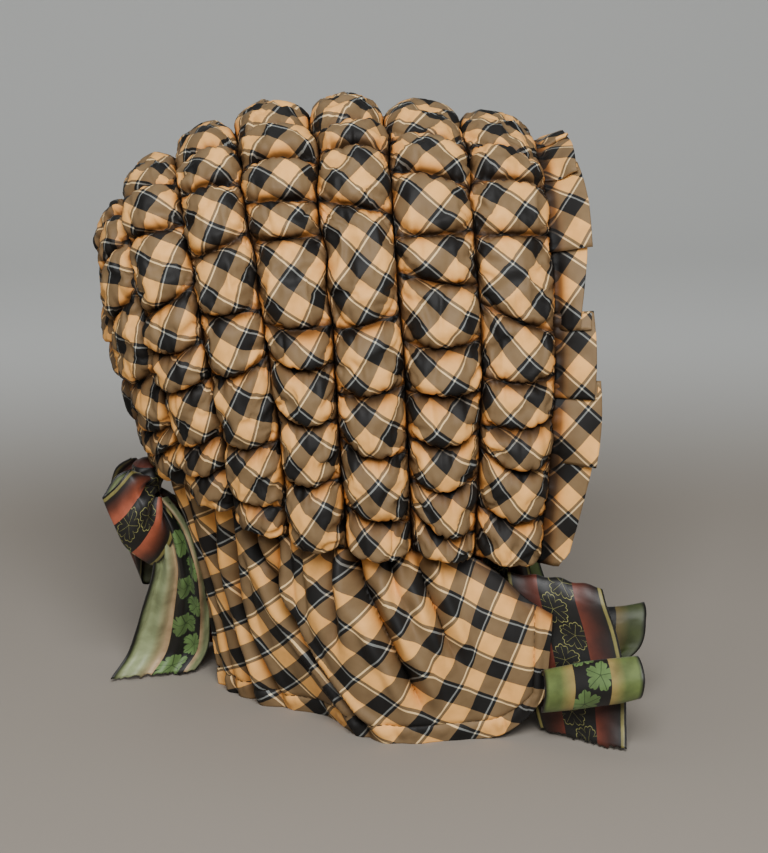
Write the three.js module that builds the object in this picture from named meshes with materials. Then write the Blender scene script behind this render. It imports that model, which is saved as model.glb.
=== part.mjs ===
import * as THREE from 'three';

// Quilted hood of plaid silk with a face ruffle, a neck curtain, a nape bow and chin ties.
// Millimetres, +Z up, face opening toward -Y, wearer's right side toward -X, hem on Z = 0.

// Driving sizes
const WALL = 4;            // quilt thickness inside the seam surface
const SEAM_GAP = 0.16;     // half of the gap left along every quilting seam
const ARCH_N = 2.55;       // squareness of the arch every seam follows over the head
const RIBBON_W = 46;       // ribbon width
const RIBBON_T = 1.2;      // ribbon thickness
const RUFFLE_W = 21;       // depth of the face ruffle from its seam
const RUFFLE_T = 1.6;      // ruffle thickness, two layers of silk
const RUFFLE_LIFT = 3.2;   // height of one pleat edge above the next pleat
const CURTAIN_T = 2.2;     // neck curtain thickness, silk, lining and turned hem
const ROOT_GAP = 0.35;     // gap between pieces that are sewn together
const CREASE_SAG = 3.5;    // how far the middle of a crease hangs below its ends
const MIRROR_DRIFT = 0.035; // how much the far side differs from the near side
const PLACE = { x: 11.5, y: 8.5 }; // move that centres the whole outline, ribbons and all, on the origin

// Quilting seams, front to back
const SEAMS = [
  { name: 'face edge', top_y: -86.7, top_z: 264, base_y: -83.7, base_z: 83.1, bow: -3.9, half: 84, base_half: 70 },
  { name: 'seam 1', top_y: -51.7, top_z: 272, base_y: -52.9, base_z: 88.3, bow: -2.4, half: 87, base_half: 74 },
  { name: 'seam 2', top_y: -16.1, top_z: 276, base_y: -24.2, base_z: 91.8, bow: 0.1, half: 88, base_half: 76 },
  { name: 'seam 3', top_y: 17.6, top_z: 276, base_y: 5.1, base_z: 92.7, bow: 0.2, half: 87, base_half: 74 },
  { name: 'seam 4', top_y: 52.5, top_z: 269, base_y: 31.0, base_z: 96.9, bow: -1.9, half: 83, base_half: 66 },
  { name: 'seam 5', top_y: 80.3, top_z: 257, base_y: 52.7, base_z: 105.1, bow: 0.6, half: 75, base_half: 52 },
  { name: 'seam 6', top_y: 103.1, top_z: 240, base_y: 72.4, base_z: 112.4, bow: 2.5, half: 60, base_half: 34 },
  { name: 'seam 7', top_y: 114.3, top_z: 214, base_y: 89.0, base_z: 115.8, bow: 2.9, half: 32, base_half: 13 },
];

// Puffed tubes between the seams. crown and side: puff height over the seams. creases: distance of each
// gathered crease from the near lower end, measured along the tube, up to the crown.
const TUBES = [
  { name: 'tube_1', crown: 11, side: 14, creases: [26, 54, 70, 92, 120, 161, 191, 212] },
  { name: 'tube_2', crown: 12, side: 14, creases: [18, 40, 61, 81, 106, 135, 158, 188, 215] },
  { name: 'tube_3', crown: 13, side: 15, creases: [20, 54, 81, 113, 171, 206, 226] },
  { name: 'tube_4', crown: 13.5, side: 15, creases: [35, 66, 94, 110, 152, 172, 195, 222] },
  { name: 'tube_5', crown: 13, side: 14, creases: [18, 47, 84, 110, 143, 176, 203] },
  { name: 'tube_6', crown: 12, side: 13, creases: [22, 37, 66, 86, 106, 143, 170] },
  { name: 'tube_7', crown: 11, side: 12, creases: [21, 34, 60, 93, 119, 140] },
];
const BACK_PANEL = { name: 'back_panel', height: 9, creases: [14, 31, 47, 66, 84] };
const CREASE_DEPTH = 0.52;  // share of the puff height lost at a crease

// Pleats of the face ruffle: distance of each overlap from the near lower end, up to the crown
const PLEATS = [0, 50, 85, 123, 153, 191, 222];
const RUFFLE_FLARE = { side: 0.16, crown: 0.55 }; // outward lean, radians

// Neck curtain, near front edge round to the middle of the back
const CURTAIN = [
  { name: 'front edge', top_x: -82, top_y: -89, top_z: 61, hem_x: -83, hem_y: -86, hem_z: 22, swell: 1 },
  { name: 'front corner', top_x: -79, top_y: -76, top_z: 69, hem_x: -83, hem_y: -76, hem_z: 10, swell: 3 },
  { name: 'free edge', top_x: -76, top_y: -64, top_z: 80, hem_x: -81, hem_y: -66, hem_z: 2.5, swell: 5 },
  { name: 'jaw', top_x: -73, top_y: -52, top_z: 87, hem_x: -79, hem_y: -54, hem_z: 0, swell: 7 },
  { name: 'under tube 2', top_x: -73.5, top_y: -38, top_z: 89.5, hem_x: -81, hem_y: -38, hem_z: 0, swell: 9 },
  { name: 'side', top_x: -74, top_y: -20, top_z: 91.5, hem_x: -83, hem_y: -22, hem_z: 0, swell: 9 },
  { name: 'under tube 4', top_x: -71.5, top_y: 4, top_z: 92.5, hem_x: -76, hem_y: -3, hem_z: 0, swell: 8 },
  { name: 'ear', top_x: -63.5, top_y: 30.5, top_z: 96.5, hem_x: -46, hem_y: 14, hem_z: 0, swell: 6 },
  { name: 'behind ear', top_x: -50, top_y: 52, top_z: 104.5, hem_x: -35, hem_y: 34, hem_z: 0, swell: 3 },
  { name: 'nape side', top_x: -31.5, top_y: 71, top_z: 111.5, hem_x: -22, hem_y: 50, hem_z: 0, swell: -1 },
  { name: 'nape', top_x: -12, top_y: 86, top_z: 115, hem_x: -9, hem_y: 61, hem_z: 0, swell: -5 },
  { name: 'middle back', top_x: 0, top_y: 88, top_z: 115.5, hem_x: 0, hem_y: 64, hem_z: 0, swell: -6 },
];
// Folds of the neck curtain. at: place along the curtain rows above at the top and at the hem,
// depth in mm, width as a share of one row, ends: how far down the fold runs.
const FOLDS = [
  { name: 'deep fold', top_at: 6.0, hem_at: 4.2, depth: 7, width: 0.85, starts: 0, ends: 0.86 },
  { name: 'second fold', top_at: 4.2, hem_at: 3.0, depth: 4, width: 0.7, starts: 0, ends: 0.6 },
  { name: 'ear fold', top_at: 7.9, hem_at: 7.5, depth: 4, width: 0.6, starts: 0, ends: 1.3 },
  { name: 'nape fold', top_at: 9.2, hem_at: 9.0, depth: 3, width: 0.5, starts: 0, ends: 1.3 },
];

// Ribbon runs. x y z: middle of the ribbon, wx wy wz: direction across it, w: share of the full width
const NAPE = { x: 0, y: 98, z: 106.5, r: 10 };
const CHIN = { x: -64, y: -93, z: 20, r: 8.5 };
const RIBBONS = [
  { name: 'nape_loop_near', dark: true, path: [
    { x: -8.65, y: 102, z: 107, wx: 0, wy: -0.35, wz: -0.94, w: 0.35 },
    { x: -11, y: 108, z: 96, wx: 0, wy: -0.35, wz: -0.94, w: 0.95 },
    { x: -16, y: 112, z: 88, wx: 0, wy: -0.35, wz: -0.94, w: 1 },
    { x: -21, y: 108, z: 86, wx: 0, wy: -0.35, wz: -0.94, w: 1 },
    { x: -20, y: 101, z: 91, wx: 0, wy: -0.35, wz: -0.94, w: 1 },
    { x: -15, y: 97.5, z: 99, wx: 0, wy: -0.35, wz: -0.94, w: 0.7 },
    { x: -9.4, y: 97, z: 104, wx: 0, wy: -0.35, wz: -0.94, w: 0.3 }] },
  { name: 'nape_loop_far', dark: true, path: [
    { x: 9.1, y: 102, z: 107, wx: 0, wy: -0.3, wz: -0.95, w: 0.35 },
    { x: 14, y: 110, z: 97.5, wx: 0, wy: -0.3, wz: -0.95, w: 0.95 },
    { x: 21, y: 113, z: 90, wx: 0, wy: -0.3, wz: -0.95, w: 1 },
    { x: 26, y: 109, z: 88, wx: 0, wy: -0.3, wz: -0.95, w: 1 },
    { x: 23, y: 101, z: 92, wx: 0, wy: -0.3, wz: -0.95, w: 0.95 },
    { x: 16, y: 99, z: 100, wx: 0, wy: -0.35, wz: -0.94, w: 0.6 },
    { x: 9.6, y: 97, z: 104, wx: 0, wy: -0.35, wz: -0.94, w: 0.3 }] },
  { name: 'nape_tail_near', dark: false, path: [
    { x: 0.6, y: 95.5, z: 96.1, wx: 0.3, wy: 0.95, wz: 0, w: 0.35 },
    { x: 4.5, y: 89.5, z: 80, wx: 0.35, wy: 0.93, wz: 0.1, w: 0.5 },
    { x: 14, y: 88, z: 60, wx: 0.25, wy: 0.96, wz: 0.1, w: 0.62 },
    { x: 20, y: 88.5, z: 36, wx: 0.1, wy: 0.99, wz: 0, w: 0.9 },
    { x: 22, y: 90.5, z: 13, wx: 0, wy: 1, wz: 0, w: 1 },
    { x: 24, y: 94, z: 1.2, wx: 0, wy: 1, wz: 0, w: 1 }] },
  { name: 'nape_tail_far', dark: true, path: [
    { x: 5.2, y: 95, z: 97, wx: -0.3, wy: 0.95, wz: 0, w: 0.2 },
    { x: 22, y: 80.5, z: 79, wx: -0.35, wy: 0.93, wz: 0.1, w: 0.38 },
    { x: 34, y: 78, z: 58, wx: -0.4, wy: 0.9, wz: 0.1, w: 0.85 },
    { x: 42, y: 78, z: 34, wx: -0.45, wy: 0.88, wz: 0, w: 1 },
    { x: 47, y: 77, z: 12, wx: -0.5, wy: 0.86, wz: 0, w: 1 },
    { x: 49, y: 77, z: 1.2, wx: -0.5, wy: 0.86, wz: 0, w: 1 }] },
  { name: 'chin_tie_near', dark: true, path: [
    { x: -67.8, y: -62, z: 96, wx: 0, wy: -1, wz: 0, w: 0.6 },
    { x: -62, y: -65, z: 74, wx: 0, wy: -1, wz: 0, w: 0.7 },
    { x: -58, y: -72, z: 46, wx: 0, wy: -1, wz: 0, w: 0.7 },
    { x: -61.3, y: -83, z: 26.4, wx: 0, wy: -1, wz: 0, w: 0.25 }] },
  { name: 'chin_tie_far', dark: true, path: [
    { x: 67.7, y: -62, z: 96, wx: 0, wy: -1, wz: 0, w: 0.6 },
    { x: 59, y: -70, z: 68, wx: 0, wy: -1, wz: 0.1, w: 0.85 },
    { x: 40, y: -82, z: 36, wx: 0.3, wy: -0.8, wz: 0.4, w: 0.85 },
    { x: 8, y: -89, z: 17, wx: 0.2, wy: -0.8, wz: 0.5, w: 0.75 },
    { x: -24, y: -90, z: 14, wx: 0, wy: -0.8, wz: 0.55, w: 0.6 },
    { x: -56.8, y: -90.4, z: 15.9, wx: 0, wy: -0.8, wz: 0.55, w: 0.25 }] },
  { name: 'chin_loop_tall', dark: true, path: [
    { x: -67.2, y: -93, z: 28, wx: -0.2, wy: -0.98, wz: 0, w: 0.3 },
    { x: -67, y: -93, z: 42, wx: -0.2, wy: -0.98, wz: 0, w: 0.85 },
    { x: -68, y: -91, z: 64, wx: -0.2, wy: -0.98, wz: 0, w: 1 },
    { x: -73, y: -91, z: 76.5, wx: -0.22, wy: -0.98, wz: 0, w: 1 },
    { x: -77.5, y: -92, z: 70, wx: -0.25, wy: -0.97, wz: 0, w: 1 },
    { x: -79, y: -94, z: 54, wx: -0.28, wy: -0.96, wz: 0, w: 1 },
    { x: -82, y: -97, z: 32, wx: -0.36, wy: -0.93, wz: 0, w: 1 },
    { x: -85, y: -101, z: 12, wx: -0.5, wy: -0.86, wz: 0, w: 1 },
    { x: -87, y: -103, z: 1.2, wx: -0.56, wy: -0.83, wz: 0, w: 1 }] },
  { name: 'chin_loop_back', dark: false, path: [
    { x: -56.4, y: -101, z: 20, wx: 0, wy: -1, wz: 0, w: 0.3 },
    { x: -58, y: -112, z: 42, wx: 0, wy: -1, wz: 0, w: 0.95 },
    { x: -56, y: -115, z: 60, wx: 0, wy: -1, wz: 0, w: 1 },
    { x: -51, y: -115, z: 67, wx: 0, wy: -1, wz: 0, w: 1 },
    { x: -46, y: -115, z: 60, wx: 0, wy: -1, wz: 0, w: 1 },
    { x: -46, y: -112, z: 38, wx: 0, wy: -1, wz: 0, w: 0.95 },
    { x: -50, y: -103, z: 21, wx: 0, wy: -1, wz: 0, w: 0.3 }] },
  { name: 'chin_loop_front', dark: false, path: [
    { x: -89.45, y: -107.5, z: 30, wx: -0.4, wy: -0.9, wz: 0.16, w: 0.85 },
    { x: -92.45, y: -108.5, z: 40, wx: -0.4, wy: -0.9, wz: 0.16, w: 0.97 },
    { x: -99.45, y: -109.5, z: 44, wx: -0.4, wy: -0.9, wz: 0.16, w: 1 },
    { x: -106.45, y: -110.5, z: 36, wx: -0.4, wy: -0.9, wz: 0.16, w: 1 },
    { x: -102.45, y: -109.5, z: 26, wx: -0.4, wy: -0.9, wz: 0.16, w: 1 },
    { x: -92.45, y: -108.5, z: 24, wx: -0.4, wy: -0.9, wz: 0.16, w: 0.9 }] },
];

// Colours
const SILK = { color: 0x9c7b55, roughness: 0.62, metalness: 0 };
const SILK_PALE = { color: 0xa88660, roughness: 0.62, metalness: 0 };
const RIBBON_DARK = { color: 0x4d3426, roughness: 0.7, metalness: 0 };
const RIBBON_GREEN = { color: 0x7c8a55, roughness: 0.7, metalness: 0 };

const V = (x, y, z) => new THREE.Vector3(x, y, z);
const lerp = (a, b, t) => a + (b - a) * t;
const clamp = (x, a, b) => Math.min(b, Math.max(a, x));
const smooth = (x) => { const t = clamp(x, 0, 1); return t * t * (3 - 2 * t); };

// Closed solid from rings of equal length; the first and last ring are capped with fans
function loft(rings, capMid = true) {
  const n = rings[0].length, pos = [], idx = [];
  rings.forEach((r) => r.forEach((p) => pos.push(p.x, p.y, p.z)));
  for (let i = 0; i + 1 < rings.length; i++) {
    for (let j = 0; j < n; j++) {
      const k = (j + 1) % n, a = i * n + j, b = i * n + k, c = a + n, d = b + n;
      idx.push(a, c, b, b, c, d);
    }
  }
  const cap = (base, ring, flip) => {
    if (capMid) {
      const m = ring.reduce((s, p) => s.add(p), V(0, 0, 0)).divideScalar(n);
      const mi = pos.length / 3;
      pos.push(m.x, m.y, m.z);
      for (let j = 0; j < n; j++) {
        const k = (j + 1) % n;
        if (flip) idx.push(mi, base + k, base + j); else idx.push(mi, base + j, base + k);
      }
    } else {
      for (let j = 0; j < n / 2 - 1; j++) {
        const a = j, b = j + 1, c = n - 1 - j, d = n - 2 - j;
        const f = (p, q, r) => (flip ? idx.push(base + p, base + r, base + q) : idx.push(base + p, base + q, base + r));
        f(a, b, c); f(b, d, c);
      }
    }
  };
  cap(0, rings[0], false);
  cap((rings.length - 1) * n, rings[rings.length - 1], true);
  const g = new THREE.BufferGeometry();
  g.setAttribute('position', new THREE.Float32BufferAttribute(pos, 3));
  g.setIndex(idx);
  // turn the faces outward whichever way the rings were listed
  let vol = 0;
  for (let i = 0; i < idx.length; i += 3) {
    const [a, b, c] = [idx[i], idx[i + 1], idx[i + 2]].map((q) => V(pos[3 * q], pos[3 * q + 1], pos[3 * q + 2]));
    vol += a.dot(b.cross(c));
  }
  if (vol < 0) for (let i = 0; i < idx.length; i += 3) { const t = idx[i + 1]; idx[i + 1] = idx[i + 2]; idx[i + 2] = t; }
  g.setIndex(idx);
  g.computeVertexNormals();
  return g;
}

function seamPoint(i, ph) {
  const r = SEAMS[i], c = Math.cos(ph), s = Math.max(0, Math.sin(ph));
  const w = -Math.sign(c) * Math.pow(Math.abs(c), 2 / ARCH_N), h = Math.pow(s, 2 / ARCH_N);
  const dy = r.top_y - r.base_y, dz = r.top_z - r.base_z, L = Math.hypot(dy, dz);
  const b = r.bow * Math.sin(Math.PI * h);
  return V(w * (r.half - (r.half - r.base_half) * (1 - h) * (1 - h)),
    r.base_y + dy * h + b * dz / L, r.base_z + dz * h - b * dy / L);
}
// Point, outward normal and across direction (toward the back) of a seam
function seamFrame(i, ph) {
  const e = 0.012, a = clamp(ph - e, 0.004, Math.PI - 0.004), b = clamp(ph + e, 0.004, Math.PI - 0.004);
  const q = clamp(ph, 0.02, Math.PI - 0.02);
  const t = seamPoint(i, b).sub(seamPoint(i, a)).normalize();
  const hi = seamPoint(Math.min(i + 1, 7), q), lo = seamPoint(Math.max(i - 1, 0), q);
  const n = t.clone().cross(hi.sub(lo)).normalize();
  if (n.dot(seamPoint(i, q).sub(V(0, 0, 150))) < 0) n.negate();
  const c = n.clone().cross(t).normalize();
  if (c.dot(hi.copy(seamPoint(Math.min(i + 1, 7), q)).sub(seamPoint(Math.max(i - 1, 0), q))) < 0) c.negate();
  return { p: seamPoint(i, ph), n, c };
}
// Distance along a run of points, and the phase at a given distance
function runTable(fn, steps = 400) {
  const ph = [], s = [0];
  let last = null;
  for (let k = 0; k <= steps; k++) {
    const q = (Math.PI * k) / steps, p = fn(q);
    ph.push(q);
    if (last) s.push(s[s.length - 1] + p.distanceTo(last));
    last = p;
  }
  const total = s[s.length - 1];
  const at = (d) => {
    const x = clamp(d, 0, total);
    let k = 1;
    while (k < steps && s[k] < x) k++;
    return lerp(ph[k - 1], ph[k], (x - s[k - 1]) / (s[k] - s[k - 1] || 1));
  };
  return { total, at };
}
// Near-side marks carried over to the far side with a small drift
function bothSides(marks, total) {
  const far = marks.map((d, k) => total - d * (1 + MIRROR_DRIFT * Math.sin(2.4 * k + 1)));
  return [...marks, ...far.reverse()];
}
// Rows of one puffed channel: place s, share of the puff height, nearness to a crease
function puffRows(creases, total, endLift) {
  const rows = [{ s: 0, k: 0.3, c: 0 }, { s: 5, k: endLift, c: 0 }];
  const marks = creases.slice();
  marks.forEach((m, j) => {
    rows.push({ s: m, k: 1 - CREASE_DEPTH, c: 1 });
    const next = j + 1 < marks.length ? marks[j + 1] : total - 5, gap = next - m;
    if (gap > 26) rows.push({ s: m + gap * 0.22, k: 0.93, c: 0 }, { s: m + gap * 0.5, k: 1.04, c: 0 },
      { s: m + gap * 0.78, k: 0.95, c: 0 });
    else rows.push({ s: m + gap * 0.32, k: 0.92, c: 0 }, { s: m + gap * 0.68, k: 0.92, c: 0 });
  });
  rows.splice(2, 0, { s: marks[0] * 0.6, k: 1, c: 0 });
  rows.push({ s: total - 5, k: endLift, c: 0 }, { s: total, k: 0.3, c: 0 });
  return rows.sort((a, b) => a.s - b.s).filter((r, j, all) => j === 0 || r.s - all[j - 1].s > 1.2);
}
// One ring of a channel: two inner corners, then over the puff from seam B to seam A
const PROFILE = [{ v: 1, h: 0.42 }, { v: 0.86, h: 0.86 }, { v: 0.5, h: 1 }, { v: 0.14, h: 0.86 }, { v: 0, h: 0.42 }];
function channelRing(A, B, height, sideA, sideB) {
  const a = A.p.clone().addScaledVector(A.c, SEAM_GAP * sideA), b = B.p.clone().addScaledVector(B.c, SEAM_GAP * sideB);
  const n = A.n.clone().add(B.n).normalize();
  const ring = [a.clone().addScaledVector(A.n, -WALL), b.clone().addScaledVector(B.n, -WALL)];
  PROFILE.forEach(({ v, h }) => {
    const dir = v === 1 ? B.n : v === 0 ? A.n : n;
    ring.push(a.clone().lerp(b, v).addScaledVector(dir, height * h));
  });
  return ring;
}
function tubeGeometry(i, spec) {
  const crownLine = (ph) => {
    const A = seamFrame(i, ph), B = seamFrame(i + 1, ph);
    return A.p.clone().lerp(B.p, 0.5).addScaledVector(A.n.clone().add(B.n).normalize(), spec.side);
  };
  const run = runTable(crownLine);
  const rows = puffRows(bothSides(spec.creases, run.total), run.total, 0.86);
  return loft(rows.map((r) => {
    const side = 1 - Math.pow(Math.abs(1 - (2 * r.s) / run.total), 2);
    const height = lerp(spec.side, spec.crown, smooth(side)) * r.k;
    const drop = r.c * CREASE_SAG * (1 - smooth(side)) * (r.s < run.total / 2 ? -1 : 1);
    const ph = run.at(r.s), mid = run.at(r.s + drop);
    const ring = channelRing(seamFrame(i, ph), seamFrame(i + 1, ph), height, 1, -1);
    const low = channelRing(seamFrame(i, mid), seamFrame(i + 1, mid), height, 1, -1);
    [3, 4, 5].forEach((j) => ring[j].copy(low[j]));
    return ring;
  }));
}
function backPanelGeometry() {
  const spec = BACK_PANEL, top = Math.asin(Math.pow(0.982, ARCH_N / 2));
  const pts = [];
  for (let k = 0; k <= 200; k++) pts.push((top * k) / 200);
  const s = [0];
  for (let k = 1; k <= 200; k++) s.push(s[k - 1] + seamPoint(7, pts[k]).setX(0).distanceTo(seamPoint(7, pts[k - 1]).setX(0)));
  const total = s[200];
  const at = (d) => { let k = 1; while (k < 200 && s[k] < d) k++; return lerp(pts[k - 1], pts[k], (d - s[k - 1]) / (s[k] - s[k - 1])); };
  const rows = puffRows(spec.creases.filter((c) => c < total - 8), total, 0.8);
  return loft(rows.map((r) => {
    const ph = at(clamp(r.s, 0, total - 0.001)), near = seamFrame(7, ph), far = seamFrame(7, Math.PI - ph);
    const taper = 1 - 0.45 * smooth((r.s - total * 0.75) / (total * 0.25));
    return channelRing(near, far, spec.height * r.k * taper, 1, 1);
  }));
}
function ruffleGeometry() {
  const run = runTable((ph) => seamPoint(0, ph));
  const marks = bothSides(PLEATS.slice(1), run.total), edges = [0, ...marks, run.total];
  const rows = [];
  for (let k = 0; k + 1 < edges.length; k++) {
    const a = edges[k], b = edges[k + 1], near = (a + b) / 2 < run.total / 2, step = 1.6;
    const reach = RUFFLE_W * (1 + 0.07 * Math.sin(3.1 * k + 0.5));
    // each pleat lies over the one below it
    rows.push({ s: a + (k ? step / 2 : 0), lift: near ? 1 : 0.15, reach: reach * (near ? 1.04 : 0.96) });
    rows.push({ s: lerp(a, b, 0.5), lift: 0.55, reach });
    rows.push({ s: b - (k + 2 < edges.length ? step / 2 : 0), lift: near ? 0.15 : 1, reach: reach * (near ? 0.96 : 1.04) });
  }
  return loft(rows.map((r) => {
    const f = seamFrame(0, run.at(clamp(r.s, 0.01, run.total - 0.01)));
    const crown = smooth(1 - Math.abs(1 - (2 * r.s) / run.total));
    const lean = lerp(RUFFLE_FLARE.side, RUFFLE_FLARE.crown, crown);
    const out = f.c.clone().multiplyScalar(-Math.cos(lean)).addScaledVector(f.n, Math.sin(lean));
    const up = f.n.clone().multiplyScalar(Math.cos(lean)).addScaledVector(f.c, Math.sin(lean));
    const end = smooth(r.s / 16) * smooth((run.total - r.s) / 16);
    const reach = r.reach * lerp(0.45, 1, end);
    const root = ROOT_GAP + (RUFFLE_T / 2) * Math.sin(lean);
    const at = (w) => f.p.clone().addScaledVector(f.c, -root).addScaledVector(out, reach * w)
      .addScaledVector(up, r.lift * RUFFLE_LIFT * clamp(w * 1.4, 0, 1));
    const ws = [0, 0.5, 1];
    return [...ws.map((w) => at(w).addScaledVector(up, RUFFLE_T / 2)),
      ...ws.slice().reverse().map((w) => at(w).addScaledVector(up, -RUFFLE_T / 2))];
  }), false);
}

// Smooth value of a table column at a fractional row, mirrored past the last row
function column(rows, key, at) {
  const last = rows.length - 1, get = (k) => rows[clamp(k, 0, last)][key];
  const k = Math.floor(clamp(at, 0, last - 1e-6)), t = clamp(at, 0, last) - k;
  const [p, q, r, s] = [get(k - 1), get(k), get(k + 1), get(k + 2)];
  return 0.5 * (2 * q + (r - p) * t + (2 * p - 5 * q + 4 * r - s) * t * t + (3 * q - p - 3 * r + s) * t * t * t);
}
function curtainPoint(at, t, far) {
  const get = (key) => column(CURTAIN, key, at), sx = far ? -1 : 1;
  const x = lerp(get('top_x'), get('hem_x'), t), y = lerp(get('top_y'), get('hem_y'), t);
  const z = lerp(get('top_z'), get('hem_z'), Math.pow(t, 0.94));
  const e = 0.05, last = CURTAIN.length - 1;
  const a0 = clamp(at - e, 0, last), a1 = clamp(at + e, 0, last);
  const tx = column(CURTAIN, 'top_x', a1) - column(CURTAIN, 'top_x', a0) + column(CURTAIN, 'hem_x', a1) - column(CURTAIN, 'hem_x', a0);
  const ty = column(CURTAIN, 'top_y', a1) - column(CURTAIN, 'top_y', a0) + column(CURTAIN, 'hem_y', a1) - column(CURTAIN, 'hem_y', a0);
  const L = Math.hypot(tx, ty) || 1, n = V(-ty / L, tx / L, 0);
  if (at > last - 0.02) n.set(0, 1, 0);
  let off = get('swell') * Math.sin(Math.PI * Math.pow(t, 0.85));
  FOLDS.forEach((f, k) => {
    const shift = far ? 0.12 * Math.sin(1.7 * k + 0.6) : 0;
    const mid = lerp(f.top_at, f.hem_at, t) + shift, d = (at - mid) / f.width;
    const fade = smooth((f.ends - t) / 0.22) * smooth((t - f.starts + 0.1) / 0.12);
    off += f.depth * fade * (0.35 * Math.exp(-Math.pow(Math.abs(d) - 1.5, 2) * 2.2) - Math.exp(-d * d * 1.4)) * smooth(t / 0.16 + 0.15);
  });
  return { p: V(sx * (x + n.x * off), y + n.y * off, z), n: V(sx * n.x, n.y, 0) };
}
function curtainGeometry() {
  const last = CURTAIN.length - 1, near = [];
  for (let k = 0; k <= 30; k++) near.push((last * k) / 30);
  const list = [...near.map((a) => [a, false]), ...near.slice(0, -1).reverse().map((a) => [a, true])];
  const ts = [0, 0.14, 0.32, 0.5, 0.68, 0.86, 1];
  return loft(list.map(([at, far]) => {
    const pts = ts.map((t) => curtainPoint(at, t, far));
    const outer = pts.map(({ p, n }) => p.clone().addScaledVector(n, CURTAIN_T / 2));
    const inner = pts.map(({ p, n }) => p.clone().addScaledVector(n, -CURTAIN_T / 2)).reverse();
    return [...outer, ...inner];
  }), false);
}

// Ribbon sheet: centre path and width directions through named stations
function ribbonGeometry(stations, width = RIBBON_W, per = 3, thick = RIBBON_T) {
  const key = ['x', 'y', 'z', 'wx', 'wy', 'wz', 'w'];
  const n = stations.length, rows = [];
  const full = stations.map((s) => ({ w: 1, ...s }));
  for (let k = 0; k <= (n - 1) * per; k++) {
    const at = k / per, v = {};
    key.forEach((c) => { v[c] = column(full, c, at); });
    rows.push({ p: V(v.x, v.y, v.z), w: V(v.wx, v.wy, v.wz).normalize(), k: v.w });
  }
  const rings = rows.map((r, k) => {
    const t = rows[Math.min(k + 1, rows.length - 1)].p.clone().sub(rows[Math.max(k - 1, 0)].p).normalize();
    const w = r.w, m = t.clone().cross(w).normalize();
    const half = (width / 2) * r.k, cup = r.k < 0.95 ? 0 : 0.8;
    const at = (u, side) => r.p.clone().addScaledVector(w, half * u)
      .addScaledVector(m, (side * thick) / 2 + cup * (1 - u * u));
    return [at(-1, 1), at(0, 1), at(1, 1), at(1, -1), at(0, -1), at(-1, -1)];
  });
  return loft(rings, false);
}
function knotGeometry(c, r, squash) {
  const g = new THREE.SphereGeometry(1, 14, 8);
  const p = g.attributes.position;
  const pos = [], idx = [], seen = new Map(), map = [];
  for (let i = 0; i < p.count; i++) {
    const key = [p.getX(i), p.getY(i), p.getZ(i)].map((v) => v.toFixed(4).replace('-0.0000', '0.0000')).join();
    if (!seen.has(key)) {
      seen.set(key, pos.length / 3);
      const q = V(p.getX(i), p.getY(i), p.getZ(i));
      const rib = 1 + 0.05 * Math.cos(5 * Math.atan2(q.y, q.x));
      pos.push(c.x + q.x * r * squash.x * rib, c.y + q.y * r * squash.y * rib, c.z + q.z * r * squash.z);
    }
    map.push(seen.get(key));
  }
  for (let i = 0; i < g.index.count; i += 3) {
    const [a, b, d] = [g.index.getX(i), g.index.getX(i + 1), g.index.getX(i + 2)].map((q) => map[q]);
    if (a !== b && b !== d && a !== d) idx.push(a, b, d);
  }
  const out = new THREE.BufferGeometry();
  out.setAttribute('position', new THREE.Float32BufferAttribute(pos, 3));
  out.setIndex(idx);
  out.computeVertexNormals();
  return out;
}

const group = new THREE.Group();
group.name = 'quilted_hood';
function add(name, geometry, look) {
  const mesh = new THREE.Mesh(geometry, new THREE.MeshStandardMaterial(look));
  mesh.name = name;
  group.add(mesh);
  return mesh;
}

TUBES.forEach((spec, i) => add(spec.name, tubeGeometry(i, spec), i % 2 ? SILK_PALE : SILK));
add('back_panel', backPanelGeometry(), SILK);
add('face_ruffle', ruffleGeometry(), SILK);
add('neck_curtain', curtainGeometry(), SILK_PALE);
RIBBONS.forEach((r) => add(r.name, ribbonGeometry(r.path), r.dark ? RIBBON_DARK : RIBBON_GREEN));
add('nape_knot', knotGeometry(NAPE, NAPE.r, V(0.85, 0.8, 1)), RIBBON_DARK);
add('chin_knot', knotGeometry(CHIN, CHIN.r, V(0.8, 0.9, 1)), RIBBON_DARK);

// the middle of the whole outline comes over the origin
group.children.forEach((m) => m.geometry.translate(PLACE.x, PLACE.y, 0));

export default group;
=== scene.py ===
import math

import bpy
import numpy as np
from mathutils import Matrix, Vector


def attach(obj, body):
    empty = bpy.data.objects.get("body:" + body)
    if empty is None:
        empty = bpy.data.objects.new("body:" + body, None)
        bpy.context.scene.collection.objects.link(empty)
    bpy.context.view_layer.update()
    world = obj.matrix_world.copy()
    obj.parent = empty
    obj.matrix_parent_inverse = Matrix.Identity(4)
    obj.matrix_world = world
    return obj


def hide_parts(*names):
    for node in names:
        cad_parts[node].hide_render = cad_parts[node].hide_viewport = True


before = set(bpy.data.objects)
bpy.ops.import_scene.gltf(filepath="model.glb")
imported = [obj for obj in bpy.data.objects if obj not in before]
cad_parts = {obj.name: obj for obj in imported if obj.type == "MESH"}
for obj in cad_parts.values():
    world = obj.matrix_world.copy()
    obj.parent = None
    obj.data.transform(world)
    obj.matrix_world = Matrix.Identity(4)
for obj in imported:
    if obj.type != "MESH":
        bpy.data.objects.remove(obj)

bl_info = {
    "name": "Quilted Hood",
    "version": (1, 0, 0),
    "blender": (4, 5, 0),
    "location": "View3D > Sidebar > Quilted Hood",
    "description": "Builds a wadded hood of plaid silk with its ruffle, neck curtain and ribbons",
    "category": "Add Mesh",
}

# Frame: +Z up, face opening toward -Y, wearer's right side toward -X, hem on Z = 0.
# The tables are in millimetres; every mesh is made in metres.

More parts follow.
